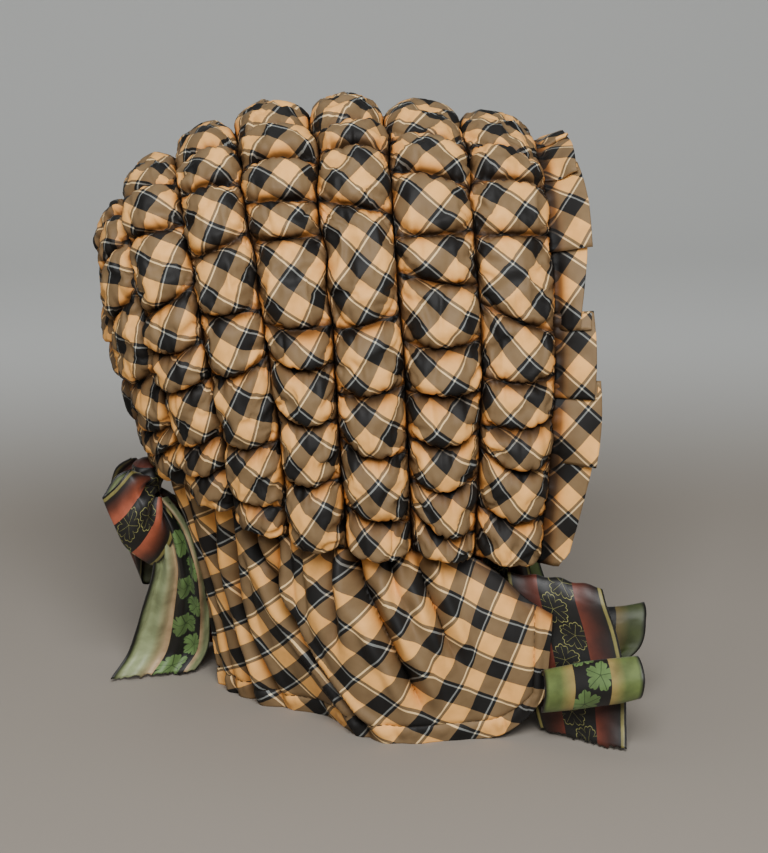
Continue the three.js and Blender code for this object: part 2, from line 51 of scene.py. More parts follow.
WALL = 4.0        # quilt thickness inside the seam surface
SEAM_GAP = 0.16   # half of the gap along a quilting seam
ARCH = 2.55       # squareness of the arch that the seams follow over the head
PLACE = np.array([11.5, 8.5, 0.0])  # from the middle of the arches to the origin
DRIFT = 0.035     # how much the far side differs from the near side
CLOTH = 52        # silk across a channel from seam to seam
LAY = -52         # turn of the plaid on the channels, in degrees
RISE = 1.04       # height of a puff before the silk settles, over the table's
INSIDE = 9        # columns of the inside wall of a channel
GATHERS = (6.4, 5.5, 6.2, 5.0)  # spacing and reach of the gathers from seams, then from creases
UNDER = 8         # how far a pleat of the ruffle goes on under the next one
RUFFLE_THICK = 0.9
CURTAIN_THICK = 1.8
STITCHES = 9.5    # distance of the hem's stitches from the edge
STEPS = 16        # rows of a ribbon from one station to the next

# Quilting seams: top_y, top_z, base_y, base_z, bow, half, base_half
SEAMS = (
    (-86.7, 264, -83.7, 83.1, -3.9, 84, 70),
    (-51.7, 272, -52.9, 88.3, -2.4, 87, 74),
    (-16.1, 276, -24.2, 91.8, 0.1, 88, 76),
    (17.6, 276, 5.1, 92.7, 0.2, 87, 74),
    (52.5, 269, 31.0, 96.9, -1.9, 83, 66),
    (80.3, 257, 52.7, 105.1, 0.6, 75, 52),
    (103.1, 240, 72.4, 112.4, 2.5, 60, 34),
    (114.3, 214, 89.0, 115.8, 2.9, 32, 13),
)
# Tubes: name, puff height at the crown and at the side, gathered creases from the near lower end
TUBES = (
    ("tube_1", 11, 14, (26, 54, 70, 92, 120, 161, 191, 212)),
    ("tube_2", 12, 14, (18, 40, 61, 81, 106, 135, 158, 188, 215)),
    ("tube_3", 13, 15, (20, 54, 81, 113, 171, 206, 226)),
    ("tube_4", 13.5, 15, (35, 66, 94, 110, 152, 172, 195, 222)),
    ("tube_5", 13, 14, (18, 47, 84, 110, 143, 176, 203)),
    ("tube_6", 11, 11, (22, 37, 66, 86, 106, 143, 170)),
    ("tube_7", 9, 8.5, (21, 34, 60, 93, 119, 140)),
)
# Back panel: puff height, creases from its lower end
BACK_PANEL = (6.5, (14, 31, 47, 66, 84))
# Ruffle pleats from the near lower end: upper edge along the seam, and width of the cloth at both ends
PLEATS = ((50, 12.2, 19.5), (80.5, 20.5, 20), (111, 17.5, 17), (146, 11, 17), (182, 18, 17), (216, 15.5, 15.5))
# Curtain rows: top x y z, hem x y z, swell; from the near front edge to the middle of the back
CURTAIN = np.array((
    (-82, -89, 61, -83, -86, 22, 1),
    (-79, -76, 69, -83, -76, 10, 3),
    (-76, -64, 80, -81, -66, 2.5, 5),
    (-73, -52, 87, -79, -54, 0, 7),
    (-73.5, -38, 89.5, -81, -38, 0, 9),
    (-74, -20, 91.5, -83, -22, 0, 9),
    (-71.5, 4, 92.5, -76, -3, 0, 8),
    (-63.5, 30.5, 96.5, -46, 14, 0, 6),
    (-50, 52, 104.5, -35, 34, 0, 3),
    (-31.5, 71, 111.5, -22, 50, 0, -1),
    (-12, 86, 115, -9, 61, 0, -5),
    (0, 88, 115.5, 0, 64, 0, -6),
))
# Curtain folds: place at the top, halfway and at the hem (rows of the table above), depth, width, starts, ends
FOLDS = (
    (4.7, 3.75, 2.9, 6.0, 3.6, 0, 0.62),
    (5.95, 5.2, 4.3, 8.5, 3.8, 0, 0.88),
    (5.3, 4.6, 3.8, 3.0, 3.4, 0, 0.45),
    (6.35, 6.25, 6.0, 5.0, 3.4, 0, 0.6),
    (7.9, 7.1, 5.9, 7.5, 3.8, 0.04, 1.1),
    (7.3, 7.5, 7.4, 5.5, 3.2, 0, 0.42),
    (8.25, 8.6, 8.0, 5.5, 3.4, 0, 1.1),
    (8.9, 9.1, 8.9, 5.0, 4.0, 0, 1.2),
    (9.7, 9.6, 9.5, 4.0, 4.0, 0, 1.2),
    (10.5, 10.4, 10.3, 4.0, 4.0, 0, 1.2),
)
# Ribbon runs: name, where it hangs from, how it is held, the side seen from the wearer's right
# (face or reverse) and the station where it is seen, then its stations: x y z of its middle, direction
# across it x y z, and share of its width
RIBBONS = (
    ("nape_loop_near", "nape_knot", "folded", "face", 3, (
        (-8.65, 102, 106, 0, -0.35, -0.94, 0.35), (-12.5, 105, 92, 0, -0.35, -0.94, 0.9),
        (-15.5, 109.5, 82, 0, -0.35, -0.94, 1), (-18, 110.5, 80.5, 0, -0.35, -0.94, 1),
        (-20, 105, 86, 0, -0.33, -0.94, 1), (-17.5, 98.5, 95, 0, -0.3, -0.95, 0.92),
        (-9.4, 95.5, 102, 0, -0.35, -0.94, 0.45))),
    ("nape_loop_far", "nape_knot", "folded", "face", 2, (
        (9.1, 102, 107, 0, -0.3, -0.95, 0.35), (14, 107, 90, 0, -0.3, -0.95, 0.8),
        (20, 109, 72, 0, -0.3, -0.95, 1), (24, 107, 66, 0, -0.3, -0.95, 1),
        (23, 102, 70, 0, -0.3, -0.95, 0.95), (16, 99, 88, 0, -0.35, -0.94, 0.7),
        (9.6, 97, 104, 0, -0.35, -0.94, 0.3))),
    ("nape_tail_near", "nape_knot", "hung", "reverse", 3, (
        (-1, 95.5, 97, 0.3, 0.95, 0, 0.3), (-5, 87, 83, 0.2, 0.97, 0.1, 0.4),
        (-4, 83.5, 62, 0.1, 0.98, 0.1, 0.52), (6, 85.5, 38, 0.05, 0.99, 0, 0.72),
        (13, 89.5, 14, -0.08, 1, 0, 0.86), (9, 97, 2.8, -0.2, 0.98, 0, 0.92))),
    ("nape_tail_far", "nape_knot", "hung", "face", 3, (
        (5.2, 95, 97, -0.3, 0.95, 0, 0.2), (22, 80.5, 79, -0.35, 0.93, 0.1, 0.38),
        (34, 78, 58, -0.4, 0.9, 0.1, 0.85), (42, 78, 34, -0.45, 0.88, 0, 1),
        (47, 77, 12, -0.5, 0.86, 0, 1), (49, 77, 2.8, -0.5, 0.86, 0, 1))),
    ("chin_tie_near", "tube_1", "hung", "face", 1, (
        (-67.8, -62, 96, 0, -1, 0, 0.6), (-62, -65, 74, 0, -1, 0, 0.7),
        (-58, -72, 46, 0, -1, 0, 0.7), (-61.3, -83, 26.4, 0, -1, 0, 0.25))),
    ("chin_tie_far", "tube_1", "hung", "reverse", 1, (
        (67.7, -62, 96, 0, -1, 0, 0.6), (59, -70, 68, 0, -1, 0.1, 0.85),
        (40, -82, 36, 0.3, -0.8, 0.4, 0.85), (8, -89, 17, 0.2, -0.8, 0.5, 0.75),
        (-24, -90, 14, 0, -0.8, 0.55, 0.6), (-56.8, -90.4, 15.9, 0, -0.8, 0.55, 0.25))),
    ("chin_loop_tall", "chin_knot", "folded", "face", 6, (
        (-67.2, -93, 28, -0.2, -0.98, 0, 0.3), (-67, -93, 42, -0.2, -0.98, 0, 0.85),
        (-68, -90, 62, -0.2, -0.98, -0.1, 1), (-73, -90, 74.5, -0.22, -0.97, -0.12, 0.98),
        (-77.5, -91.5, 68, -0.25, -0.96, -0.1, 1), (-79, -96, 52, -0.28, -0.96, -0.04, 1.02),
        (-82, -100, 32, -0.36, -0.93, 0, 1.02), (-85, -102, 12, -0.5, -0.86, 0, 1),
        (-88, -103, 2.8, -0.6, -0.8, -0.01, 1))),
    ("chin_loop_back", "chin_knot", "folded", "reverse", 2, (
        (-56.4, -101, 20, 0, -1, 0, 0.3), (-60, -112, 32, 0.1, -1, 0.1, 0.9),
        (-59, -114, 48, 0.15, -0.98, 0.05, 1), (-53, -114, 54, 0.15, -0.98, 0.02, 1),
        (-46, -114, 48, 0.1, -1, 0, 1), (-46, -112, 32, 0, -1, 0, 0.95),
        (-50, -103, 21, 0, -1, 0, 0.3))),
    ("chin_loop_front", "chin_loop_tall", "folded", "reverse", 3, (
        (-89.45, -102.5, 29, -0.4, -0.88, 0.27, 0.92), (-92.45, -103.5, 38.5, -0.4, -0.88, 0.27, 1),
        (-99.45, -104.5, 42.5, -0.4, -0.88, 0.27, 1.03), (-106.45, -105.5, 34.5, -0.4, -0.88, 0.27, 1.06),
        (-102.45, -104.5, 24.5, -0.4, -0.88, 0.27, 1.06), (-92.45, -103.5, 22.5, -0.4, -0.88, 0.27, 0.96))),
)
# Ribbons whose middle band is pulled to one side, as a share of half the width
BAND_AT = {"nape_tail_near": -0.55}
# Ribbons whose lower half is tucked away: how far its selvedge moves in x y z
TUCKED = {"nape_loop_near": (15, -7, 4)}
# How much painted light the ribbons from each knot get (paler colours for those in the key light), and how much
# painted shade each ribbon gets, from 0 to 1
PAINTED_LIGHT = {"nape_knot": 1.0, "chin_knot": 0.0}
PAINTED_SHADE = {"chin_loop_back": 0.88, "nape_loop_far": 0.8, "nape_tail_far": 0.5, "chin_tie_far": 0.4}
# Knots: name, centre, radius, share of the radius along x y z
KNOTS = (
    ("nape_knot", (0, 98, 106.5), 10, (0.85, 0.8, 1)),
    ("chin_knot", (-64, -93, 20), 8.5, (0.8, 0.9, 1)),
)
# Lights: name, place, the point it shines on, side of its square, all in metres, and watts
LIGHTS = (
    ("light_key", (-1.4, 0.05, 1.25), (0, 0, 0.12), 0.85, 42.5),
    ("light_fill", (-1.5, -1.3, 0.5), (0, 0, 0.08), 1.2, 4.6),
    ("light_top", (0.25, 0.3, 1.9), (0, 0, 0.1), 1.0, 5.2),
)


# ---- shared maths ----

def smooth(x):
    x = np.clip(x, 0, 1)
    return x * x * (3 - 2 * x)


def mix(a, b, t):
    return a + (b - a) * t


def unit(v):
    return v / np.maximum(np.linalg.norm(v, axis=-1, keepdims=True), 1e-9)


def noise(x, y, seed=0):
    """Smooth noise from -1 to 1 on a unit lattice."""
    xi, yi = np.floor(x), np.floor(y)
    u, v = smooth(x - xi), smooth(y - yi)

    def corner(a, b):
        r = np.sin(a * 127.1 + b * 311.7 + seed * 74.7) * 43758.5453
        return (r - np.floor(r)) * 2 - 1
    return mix(mix(corner(xi, yi), corner(xi + 1, yi), u),
               mix(corner(xi, yi + 1), corner(xi + 1, yi + 1), u), v)


def ridge(x):
    """Rounded ridges with sharp valleys from -1 to 1, one for each unit of x."""
    return 1 - 2 * (1 - np.abs(np.sin(np.pi * x))) ** 1.7


def column(values, at):
    """Smooth value of a table column at a fractional row (Catmull-Rom, held past its ends)."""
    v, last = np.asarray(values, float), len(values) - 1
    k = np.floor(np.clip(at, 0, last - 1e-6)).astype(int)
    t = np.clip(at, 0, last) - k
    p, q, r, s = (v[np.clip(k + j, 0, last)] for j in (-1, 0, 1, 2))
    return 0.5 * (2 * q + (r - p) * t + (2 * p - 5 * q + 4 * r - s) * t ** 2
                  + (3 * q - p - 3 * r + s) * t ** 3)


def run_length(points):
    """Distance along a run of points, starting at 0."""
    return np.concatenate([[0], np.cumsum(np.linalg.norm(np.diff(points, axis=0), axis=1))])


def grid_normals(P):
    """Unit normals of a grid of points, from the cross product of its two directions."""
    return unit(np.cross(np.gradient(P, axis=0), np.gradient(P, axis=1)))


def grid_quads(rows, cols, wrap=False):
    """Vertex numbers of the quads of a grid, rows first. wrap joins the last column to the first."""
    i, j = np.meshgrid(np.arange(rows - 1), np.arange(cols if wrap else cols - 1), indexing="ij")
    k = (j + 1) % cols
    return np.stack([i * cols + j, i * cols + k, (i + 1) * cols + k, (i + 1) * cols + j], -1).reshape(-1, 4)


def turned_plaid(x, y, degrees, q):
    """uv in plaid repeats of cloth distances x and y in mm, turned by an angle."""
    c, s = math.cos(math.radians(degrees)), math.sin(math.radians(degrees))
    return np.stack([x * c - y * s, x * s + y * c], -1) / (q.repeat * 1000)


def mesh_object(name, verts, quads, mats, uv=None, index=None, fields=()):
    """A mesh object at the origin from millimetres. uv is given per face corner, index is the material of
    each face, and fields are (name, value per vertex)."""
    me = bpy.data.meshes.new(name)
    verts = (np.asarray(verts, float) + PLACE) * 0.001
    n, f = len(verts), len(quads)
    me.vertices.add(n)
    me.vertices.foreach_set("co", verts.astype(np.float32).ravel())
    me.loops.add(f * 4)
    me.loops.foreach_set("vertex_index", np.asarray(quads, np.int32).ravel())
    me.polygons.add(f)
    me.polygons.foreach_set("loop_start", np.arange(0, f * 4, 4, dtype=np.int32))
    for m in mats:
        me.materials.append(m)
    if index is not None:
        me.polygons.foreach_set("material_index", np.asarray(index, np.int32))
    me.update(calc_edges=True)
    me.polygons.foreach_set("use_smooth", np.ones(f, bool))
    if uv is not None:
        me.uv_layers.new(name="cloth").data.foreach_set("uv", np.asarray(uv, np.float32).ravel())
    for label, value in fields:
        me.attributes.new(label, "FLOAT", "POINT").data.foreach_set("value", np.asarray(value, np.float32).ravel())
    me.validate()
    ob = bpy.data.objects.new(name, me)
    bpy.context.collection.objects.link(ob)
    return ob


def shell(P, thick, uv, normals=None):
    """A closed sheet of even thickness round a grid of middle points: its vertices, quads, uv per face
    corner and face material (0 in front, 1 behind). Front is on the side of the normals."""
    rows, cols = P.shape[:2]
    N = grid_normals(P) if normals is None else normals
    verts = np.concatenate([(P + N * thick / 2).reshape(-1, 3), (P - N * thick / 2).reshape(-1, 3)])
    q, n = grid_quads(rows, cols), rows * cols
    g = np.arange(n).reshape(rows, cols)
    rim = []
    for line in (g[0, :], g[:, -1], g[-1, ::-1], g[::-1, 0]):
        a, b = line[:-1], line[1:]
        rim.append(np.stack([b, a, a + n, b + n], -1))
    rim = np.concatenate(rim)
    quads = np.concatenate([q, q[:, ::-1] + n, rim])
    index = np.concatenate([np.zeros(len(q)), np.ones(len(q)), np.zeros(len(rim))])
    flat = np.concatenate([uv.reshape(-1, 2)] * 2)
    return verts, quads, flat[quads], index


# ---- hood shape ----

def seam_point(i, ph):
    """Points of seam i. The arch is a superellipse of the phase: w is minus the signed cosine and h the sine,
    both to the power 2 / ARCH. x is w times the half width, which shrinks to base_half toward the ends;
    y and z run from the base point to the top point with h, bowed by sin(pi h)."""
    top_y, top_z, base_y, base_z, bow, half, base_half = SEAMS[i]
    c, s = np.cos(ph), np.maximum(0, np.sin(ph))
    w, h = -np.sign(c) * np.abs(c) ** (2 / ARCH), s ** (2 / ARCH)
    dy, dz = top_y - base_y, top_z - base_z
    run, b = math.hypot(dy, dz), bow * np.sin(np.pi * h)
    return np.stack([w * (half - (half - base_half) * (1 - h) ** 2),
                     base_y + dy * h + b * dz / run, base_z + dz * h - b * dy / run], -1)


def seam_frame(i, ph):
    """Point, outward normal and direction toward the back along seam i. The normal is the seam's tangent
    crossed with the step from the seam before to the seam after."""
    a, b = np.clip(ph - 0.012, 0.004, np.pi - 0.004), np.clip(ph + 0.012, 0.004, np.pi - 0.004)
    q = np.clip(ph, 0.02, np.pi - 0.02)
    t = unit(seam_point(i, b) - seam_point(i, a))
    step = seam_point(min(i + 1, 7), q) - seam_point(max(i - 1, 0), q)
    n = unit(np.cross(t, step))
    n = n * np.where(np.sum(n * (seam_point(i, q) - (0, 0, 150)), -1, keepdims=True) < 0, -1, 1)
    c = unit(np.cross(n, t))
    c = c * np.where(np.sum(c * step, -1, keepdims=True) < 0, -1, 1)
    return seam_point(i, ph), n, c


def both_sides(marks, total):
    """Near-side marks and their far-side copies, which drift a little from the mirror image."""
    far = [total - d * (1 + DRIFT * math.sin(2.4 * k + 1)) for k, d in enumerate(marks)]
    return [*marks, *reversed(far)]


def cell_rows(marks, step):
    """Rows of a gathered channel: distance, cell number of each strip, place in the cell and cell length.
    Rows lie closer together toward the creases."""
    s, t, size, cell = [], [], [], []
    for k, (a, b) in enumerate(zip(marks[:-1], marks[1:])):
        n = max(10, round((b - a) / step))
        u = np.arange(n) / n
        u = 0.45 * u + 0.55 * (0.5 - 0.5 * np.cos(np.pi * u))
        s.append(a + (b - a) * u)
        t.append(u)
        size.append(np.full(n, b - a))
        cell.append(np.full(n, k))
    return (np.append(np.concatenate(s), marks[-1]), np.append(np.concatenate(t), 1.0),
            np.append(np.concatenate(size), marks[-1] - marks[-2]), np.concatenate(cell))


def pinches(x, T, size, row_cell, rnd, nc):
    """Short folds that run in from a seam where the silk is drawn together, two in each cell. x is the cloth
    distance from the near seam. A fold is a valley exp(-(d / w)^2) with raised lips, where w grows along it
    from 1.3 mm, and it dies out over the last 9 mm of its length."""
    g = 0
    for k in range(nc - 1):
        for start in rnd.permutation((0.25, 0.5, 0.75))[:2]:
            turn, far = rnd.uniform(-0.7, 0.7), rnd.integers(0, 2)
            long, deep = rnd.uniform(12, 24), rnd.uniform(0.8, 1.9)
            a, b = (CLOTH - x if far else x), (T - start - rnd.uniform(-0.08, 0.08)) * size[:, None]
            run, off = a * math.cos(turn) + b * math.sin(turn), b * math.cos(turn) - a * math.sin(turn)
            w = 1.3 + 0.07 * np.abs(run)
            dent = np.exp(-(off / w) ** 2) - 0.5 * np.exp(-((np.abs(off) - 2.2 * w) / w) ** 2)
            g = g - deep * dent * smooth((long - run) / 9) * smooth(run / 2) * (row_cell == k)[:, None]
    return g * np.sin(np.pi * T) ** 0.6


def channel(tables, marks, height, seed, q, cols=44, step=1.25, down=None, crown=None):
    """Closed grid of one wadded channel between two seams. tables holds the frames of both seams by distance.
    Across the channel, v = (1 - cos a) / 2 for a from 0 to pi. With X = 2v - 1 and Y = 2t - 1
    in the cell between two creases, the height share is kc (sin a)^e + (1 - kc) (1 - |X|^2.3 - |Y|^2.8)^0.52,
    where e goes from 0.86 in the puff to 1.5 at the crease. Creases tilt and sag, puffs hang over the crease
    below them, and short gathers run in from the seams, creases and corners and die out in about 5 mm.
    Returns verts, quads, uv, face material, fold (painted shade toward the seams and creases), how firmly each
    vertex is sewn (1 fully) and the direction toward the next channel, scaled by the nearness of the seam."""
    dist, (ap, an, ac), (bp, bn, bc), side = tables
    total = dist[-1]
    s, t, size, cell = cell_rows(marks, step)
    rnd = np.random.default_rng(seed)
    nc = len(marks)
    tilt, sag = rnd.uniform(-4.6, 4.6, nc), rnd.uniform(0.5, 5.5, nc)
    tilt[[0, -1]] = sag[[0, -1]] = 0
    full = 1 + rnd.uniform(-0.13, 0.10, nc)
    lean = rnd.uniform(-0.16, 0.16, nc)
    row_cell = np.append(cell, cell[-1])
    a = np.linspace(0, np.pi, cols)[None, :]
    v = 0.5 - 0.5 * np.cos(a)
    # share of the cloth's width, from the profile of a full puff, 35 mm wide and 14 mm high
    arc = run_length(np.stack([v[0] * 35, np.sin(a[0]) ** 0.8 * 14], -1))
    across = (arc / arc[-1])[None, :]
    drop = -np.cos(np.pi * s / total)[:, None] if down is None else np.full((len(s), 1), down)
    T = t[:, None]
    k0, k1 = row_cell, np.minimum(row_cell + 1, nc - 1)
    warp = mix(tilt[k0], tilt[k1], t)[:, None] * (2 * v - 1) + mix(sag[k0], sag[k1], t)[:, None] * (
        1 - (2 * v - 1) ** 2) * drop
    S = s[:, None] + warp * np.minimum(1, np.minimum(s, total - s) / 12)[:, None]
    kc = 1 - q.crease_depth
    X, Y = 2 * v - 1, 2 * T - 1
    round_end = np.clip(1 - np.abs(Y) ** 2.8, 0, 1)
    ease = mix(1.5, 0.86, round_end ** 0.35)
    h = np.sin(a) ** ease
    puff = np.clip(1 - np.abs(X) ** 2.3 - np.abs(Y) ** 2.8 * (1 - 0.15 * np.abs(X) ** 3), 0, 1) ** 0.52
    share = kc * h + (1 - kc) * np.maximum(puff, 0) * (1 + lean[k0][:, None] * X)
    share = share * mix(1, full[k0][:, None], round_end)
    H = height(s)[:, None] * share
    # gathers from the seams, the creases and the corners between them
    wide = across * CLOTH
    ds = np.minimum(wide, CLOTH - wide)
    dc = np.minimum(T, 1 - T) * size[:, None] * 1.15
    side_of, end_of = np.where(across < 0.5, 1.7, 5.3), np.where(T < 0.5, 2.1, 7.7)
    seam_step, seam_reach, crease_step, crease_reach = GATHERS
    w1 = ridge(S / seam_step + 0.7 * noise(S / 15, side_of, seed))
    w2 = ridge(wide / crease_step + 0.7 * noise(across * 5, end_of + k0[:, None] * 3.1, seed + 5)
               + k0[:, None] * 0.37)
    r = np.hypot(ds, dc)
    w3 = ridge(np.arctan2(dc, ds + 1e-6) / (np.pi / 2) * 2.6 + side_of + end_of + k0[:, None] * 0.71)
    g = 0.9 * w1 * np.exp(-ds / seam_reach) * np.clip(ds / 2.5, 0, 1)
    g += 0.85 * w2 * np.exp(-dc / crease_reach) * np.clip(dc / 1.2, 0.3, 1) * np.clip(ds / 4, 0, 1)
    g += 0.9 * w3 * np.exp(-((r - 6) / 8) ** 2) * np.clip(ds / 3, 0, 1)
    # loose folds all over the puff, then the folds that are pinched in a seam
    x, y = S / 15 + 31 * (seed % 7), wide / 11
    g += (1.3 * (0.3 - np.abs(noise(x + 0.35 * y, y, seed + 9)))
          + 0.3 * noise(S / 5.5, wide / 4.5, seed + 3)) * np.clip(ds / 5, 0, 1)
    g += pinches(wide, T, size, row_cell, rnd, nc)
    H = np.maximum(H + g * q.wrinkle_depth * 1000 * np.clip(h * 1.6, 0, 1), 0)
    S = np.clip(S + drop * 0.38 * (H - height(s)[:, None] * kc * h) * round_end ** 0.3, 0, total)

    def at(table, x):
        return np.stack([np.interp(x, dist, table[:, k]) for k in range(3)], -1)
    V = np.broadcast_to(v, S.shape)[..., None]
    A, B = at(ap + ac * SEAM_GAP * side[0], S), at(bp + bc * SEAM_GAP * side[1], S)
    N = unit(mix(at(an, S), at(bn, S), V))
    outer = mix(A, B, V) + N * H[..., None]
    if crown:
        outer = outer + crown(S, v)
    # inside wall, gently scalloped
    vi = np.linspace(1, 0, INSIDE)[None, :, None]
    Si = np.broadcast_to(s[:, None], (len(s), INSIDE))
    inner = mix(at(ap, Si), at(bp, Si), vi) - unit(mix(at(an, Si), at(bn, Si), vi)) * (
        WALL + 0.5 * np.sin(np.pi * vi) * (2 * np.abs(T[..., None] - 0.5) - 0.2))
    if crown:
        inner = inner + crown(Si, vi[..., 0])
    ring = np.concatenate([outer, inner], 1)
    # fabric coordinates on the bias; a little cloth is lost in every crease
    along = run_length(outer[:, cols // 2])
    jump = np.cumsum(rnd.uniform(2.5, 7.0, nc))[cell]
    nr, nk = ring.shape[:2]
    first, last = ([mix(end.mean(1, keepdims=True), end, f) for f in (0.04, 0.6)] for end in (ring[:1], ring[-1:]))
    verts = np.concatenate([*first, ring, *last[::-1]]).reshape(-1, 3)
    quads = grid_quads(nr + 4, nk, wrap=True)
    u = np.concatenate([np.broadcast_to(across - 0.5, (nr, cols)) * -CLOTH, np.zeros((nr, INSIDE))], 1)
    l = np.broadcast_to(along[:, None], (nr, nk))
    pad = [(2, 2), (0, 0)]
    u, l = np.pad(u, pad, "edge"), np.pad(l, pad, "edge")
    jump = np.pad(jump, (2, 2), "edge")
    strip = np.repeat(np.arange(nr + 3), nk)
    start = rnd.uniform(0, 1, 2)
    uv = turned_plaid(u.ravel()[quads], l.ravel()[quads] + jump[strip][:, None], LAY, q) + start
    col = np.tile(np.arange(nk), nr + 3)
    index = ((col >= cols) & (col < nk - 1)).astype(int)
    # painted shade: the silk darkens toward the seams and the creases, where shade falls in the valleys
    fold = np.clip(0.85 * np.exp(-(dc / 3.0) ** 1.5) + np.exp(-(ds / 5.6) ** 2), 0, 1)
    fold = np.pad(np.concatenate([fold, np.zeros((nr, INSIDE))], 1), pad, "edge")
    # sewn where the silk is held: seams, creases, the inside and both ends
    sewn = np.ones((nr + 4, nk))
    free = np.clip((ds - 0.9) / 1.2, 0, 1) * np.clip((np.minimum(T, 1 - T) * size[:, None] - 0.5) / 0.9, 0, 1)
    free *= np.clip((np.minimum(s, total - s)[:, None] - 1) / 3, 0, 1)
    sewn[2:-2, :cols] = 1 - free
    push = np.zeros((nr + 4, nk, 3))
    push[2:-2, :cols] = unit(B - A) * (2 * V - 1) * np.exp(-ds / 9.0)[..., None]
    return verts, quads, uv, index, fold.ravel(), sewn.ravel(), push.reshape(-1, 3)


def settle(ob, sewn, push, q):
    """Lets a puffed piece take its shape as cloth: the silk is a little larger than the puff it covers, is held
    where it is sewn and is blown up by the wadding. What it moves past a seam toward the next tube is taken
    back by the share exp(-distance / 9 mm)."""
    group = ob.vertex_groups.new(name="sewn")
    level = np.round(sewn * 10).astype(int)
    for k in range(1, 11):
        group.add(np.nonzero(level == k)[0].tolist(), k / 10, "REPLACE")
    mod = ob.modifiers.new("settle", "CLOTH")
    st = mod.settings
    st.quality, st.mass, st.air_damping = 4, 0.12, 2.5
    st.tension_stiffness = st.compression_stiffness = 12
    st.shear_stiffness, st.bending_stiffness = 5, 0.3
    st.vertex_group_mass, st.pin_stiffness = "sewn", 1.0
    st.shrink_min = -q.spare_silk
    st.use_pressure, st.uniform_pressure_force = True, q.pressure
    st.effector_weights.gravity = 0
    mod.collision_settings.use_collision = False
    mod.point_cache.frame_start, mod.point_cache.frame_end = 1, q.settle_frames
    scene = bpy.context.scene
    for f in range(1, q.settle_frames + 1):
        scene.frame_set(f)
    n = len(ob.data.vertices)
    old, new = np.zeros(n * 3, np.float32), np.zeros(n * 3, np.float32)
    ob.data.vertices.foreach_get("co", old)
    ev = ob.evaluated_get(bpy.context.evaluated_depsgraph_get())
    ev.data.vertices.foreach_get("co", new)
    ob.modifiers.remove(mod)
    ob.vertex_groups.clear()
    scene.frame_set(1)
    old, move = old.reshape(-1, 3), (new - old).reshape(-1, 3)
    if not np.isfinite(move).all() or np.abs(move).max() > 0.012:
        raise RuntimeError(ob.name + ": the silk did not settle")
    move -= push * np.maximum(np.sum(move * unit(push + 1e-12), -1, keepdims=True), 0)
    ob.data.vertices.foreach_set("co", (old + move).astype(np.float32).ravel())
    ob.data.update()


def wander(i, ph):
    """How far quilting seam i wanders across, up to 2 mm. The first and last seams run true."""
    return (2 * noise(ph * 8, i * 3.7, 2) * np.sin(ph) * (0 < i < 7))[:, None]


def tube_tables(i, side):
    """Frames of both seams of tube i by distance along the middle of the tube."""
    ph = np.linspace(0, np.pi, 801)
    A, B = seam_frame(i, ph), seam_frame(i + 1, ph)
    A, B = ((p + c * wander(k, ph), n, c) for k, (p, n, c) in ((i, A), (i + 1, B)))
    mid = (A[0] + B[0]) / 2 + unit(A[1] + B[1]) * side
    return run_length(mid), A, B, (1, -1)


def panel_tables():
    """Frames of both sides of the back panel by distance up the last seam, and its lift at the top. The
    panel ends where the seam has risen 98.2 percent of its arch."""
    ph = np.linspace(0, math.asin(0.982 ** (ARCH / 2)), 401)
    A, B = seam_frame(7, ph), seam_frame(7, np.pi - ph)
    dist = run_length(A[0] * (0, 1, 1))

    def crown(s, v):
        """Lifts the last 14 mm of the panel from its straight top to the arch of the seam above it."""
        q = np.interp(s, dist, ph)
        flat = mix(seam_point(7, q), seam_point(7, np.pi - q), (v + 0 * s)[..., None])
        lift = smooth((s - dist[-1] + 14) / 14)[..., None]
        return lift * (seam_point(7, mix(q, np.pi - q, v)) - flat)
    return (dist, A, B, (1, 1)), crown


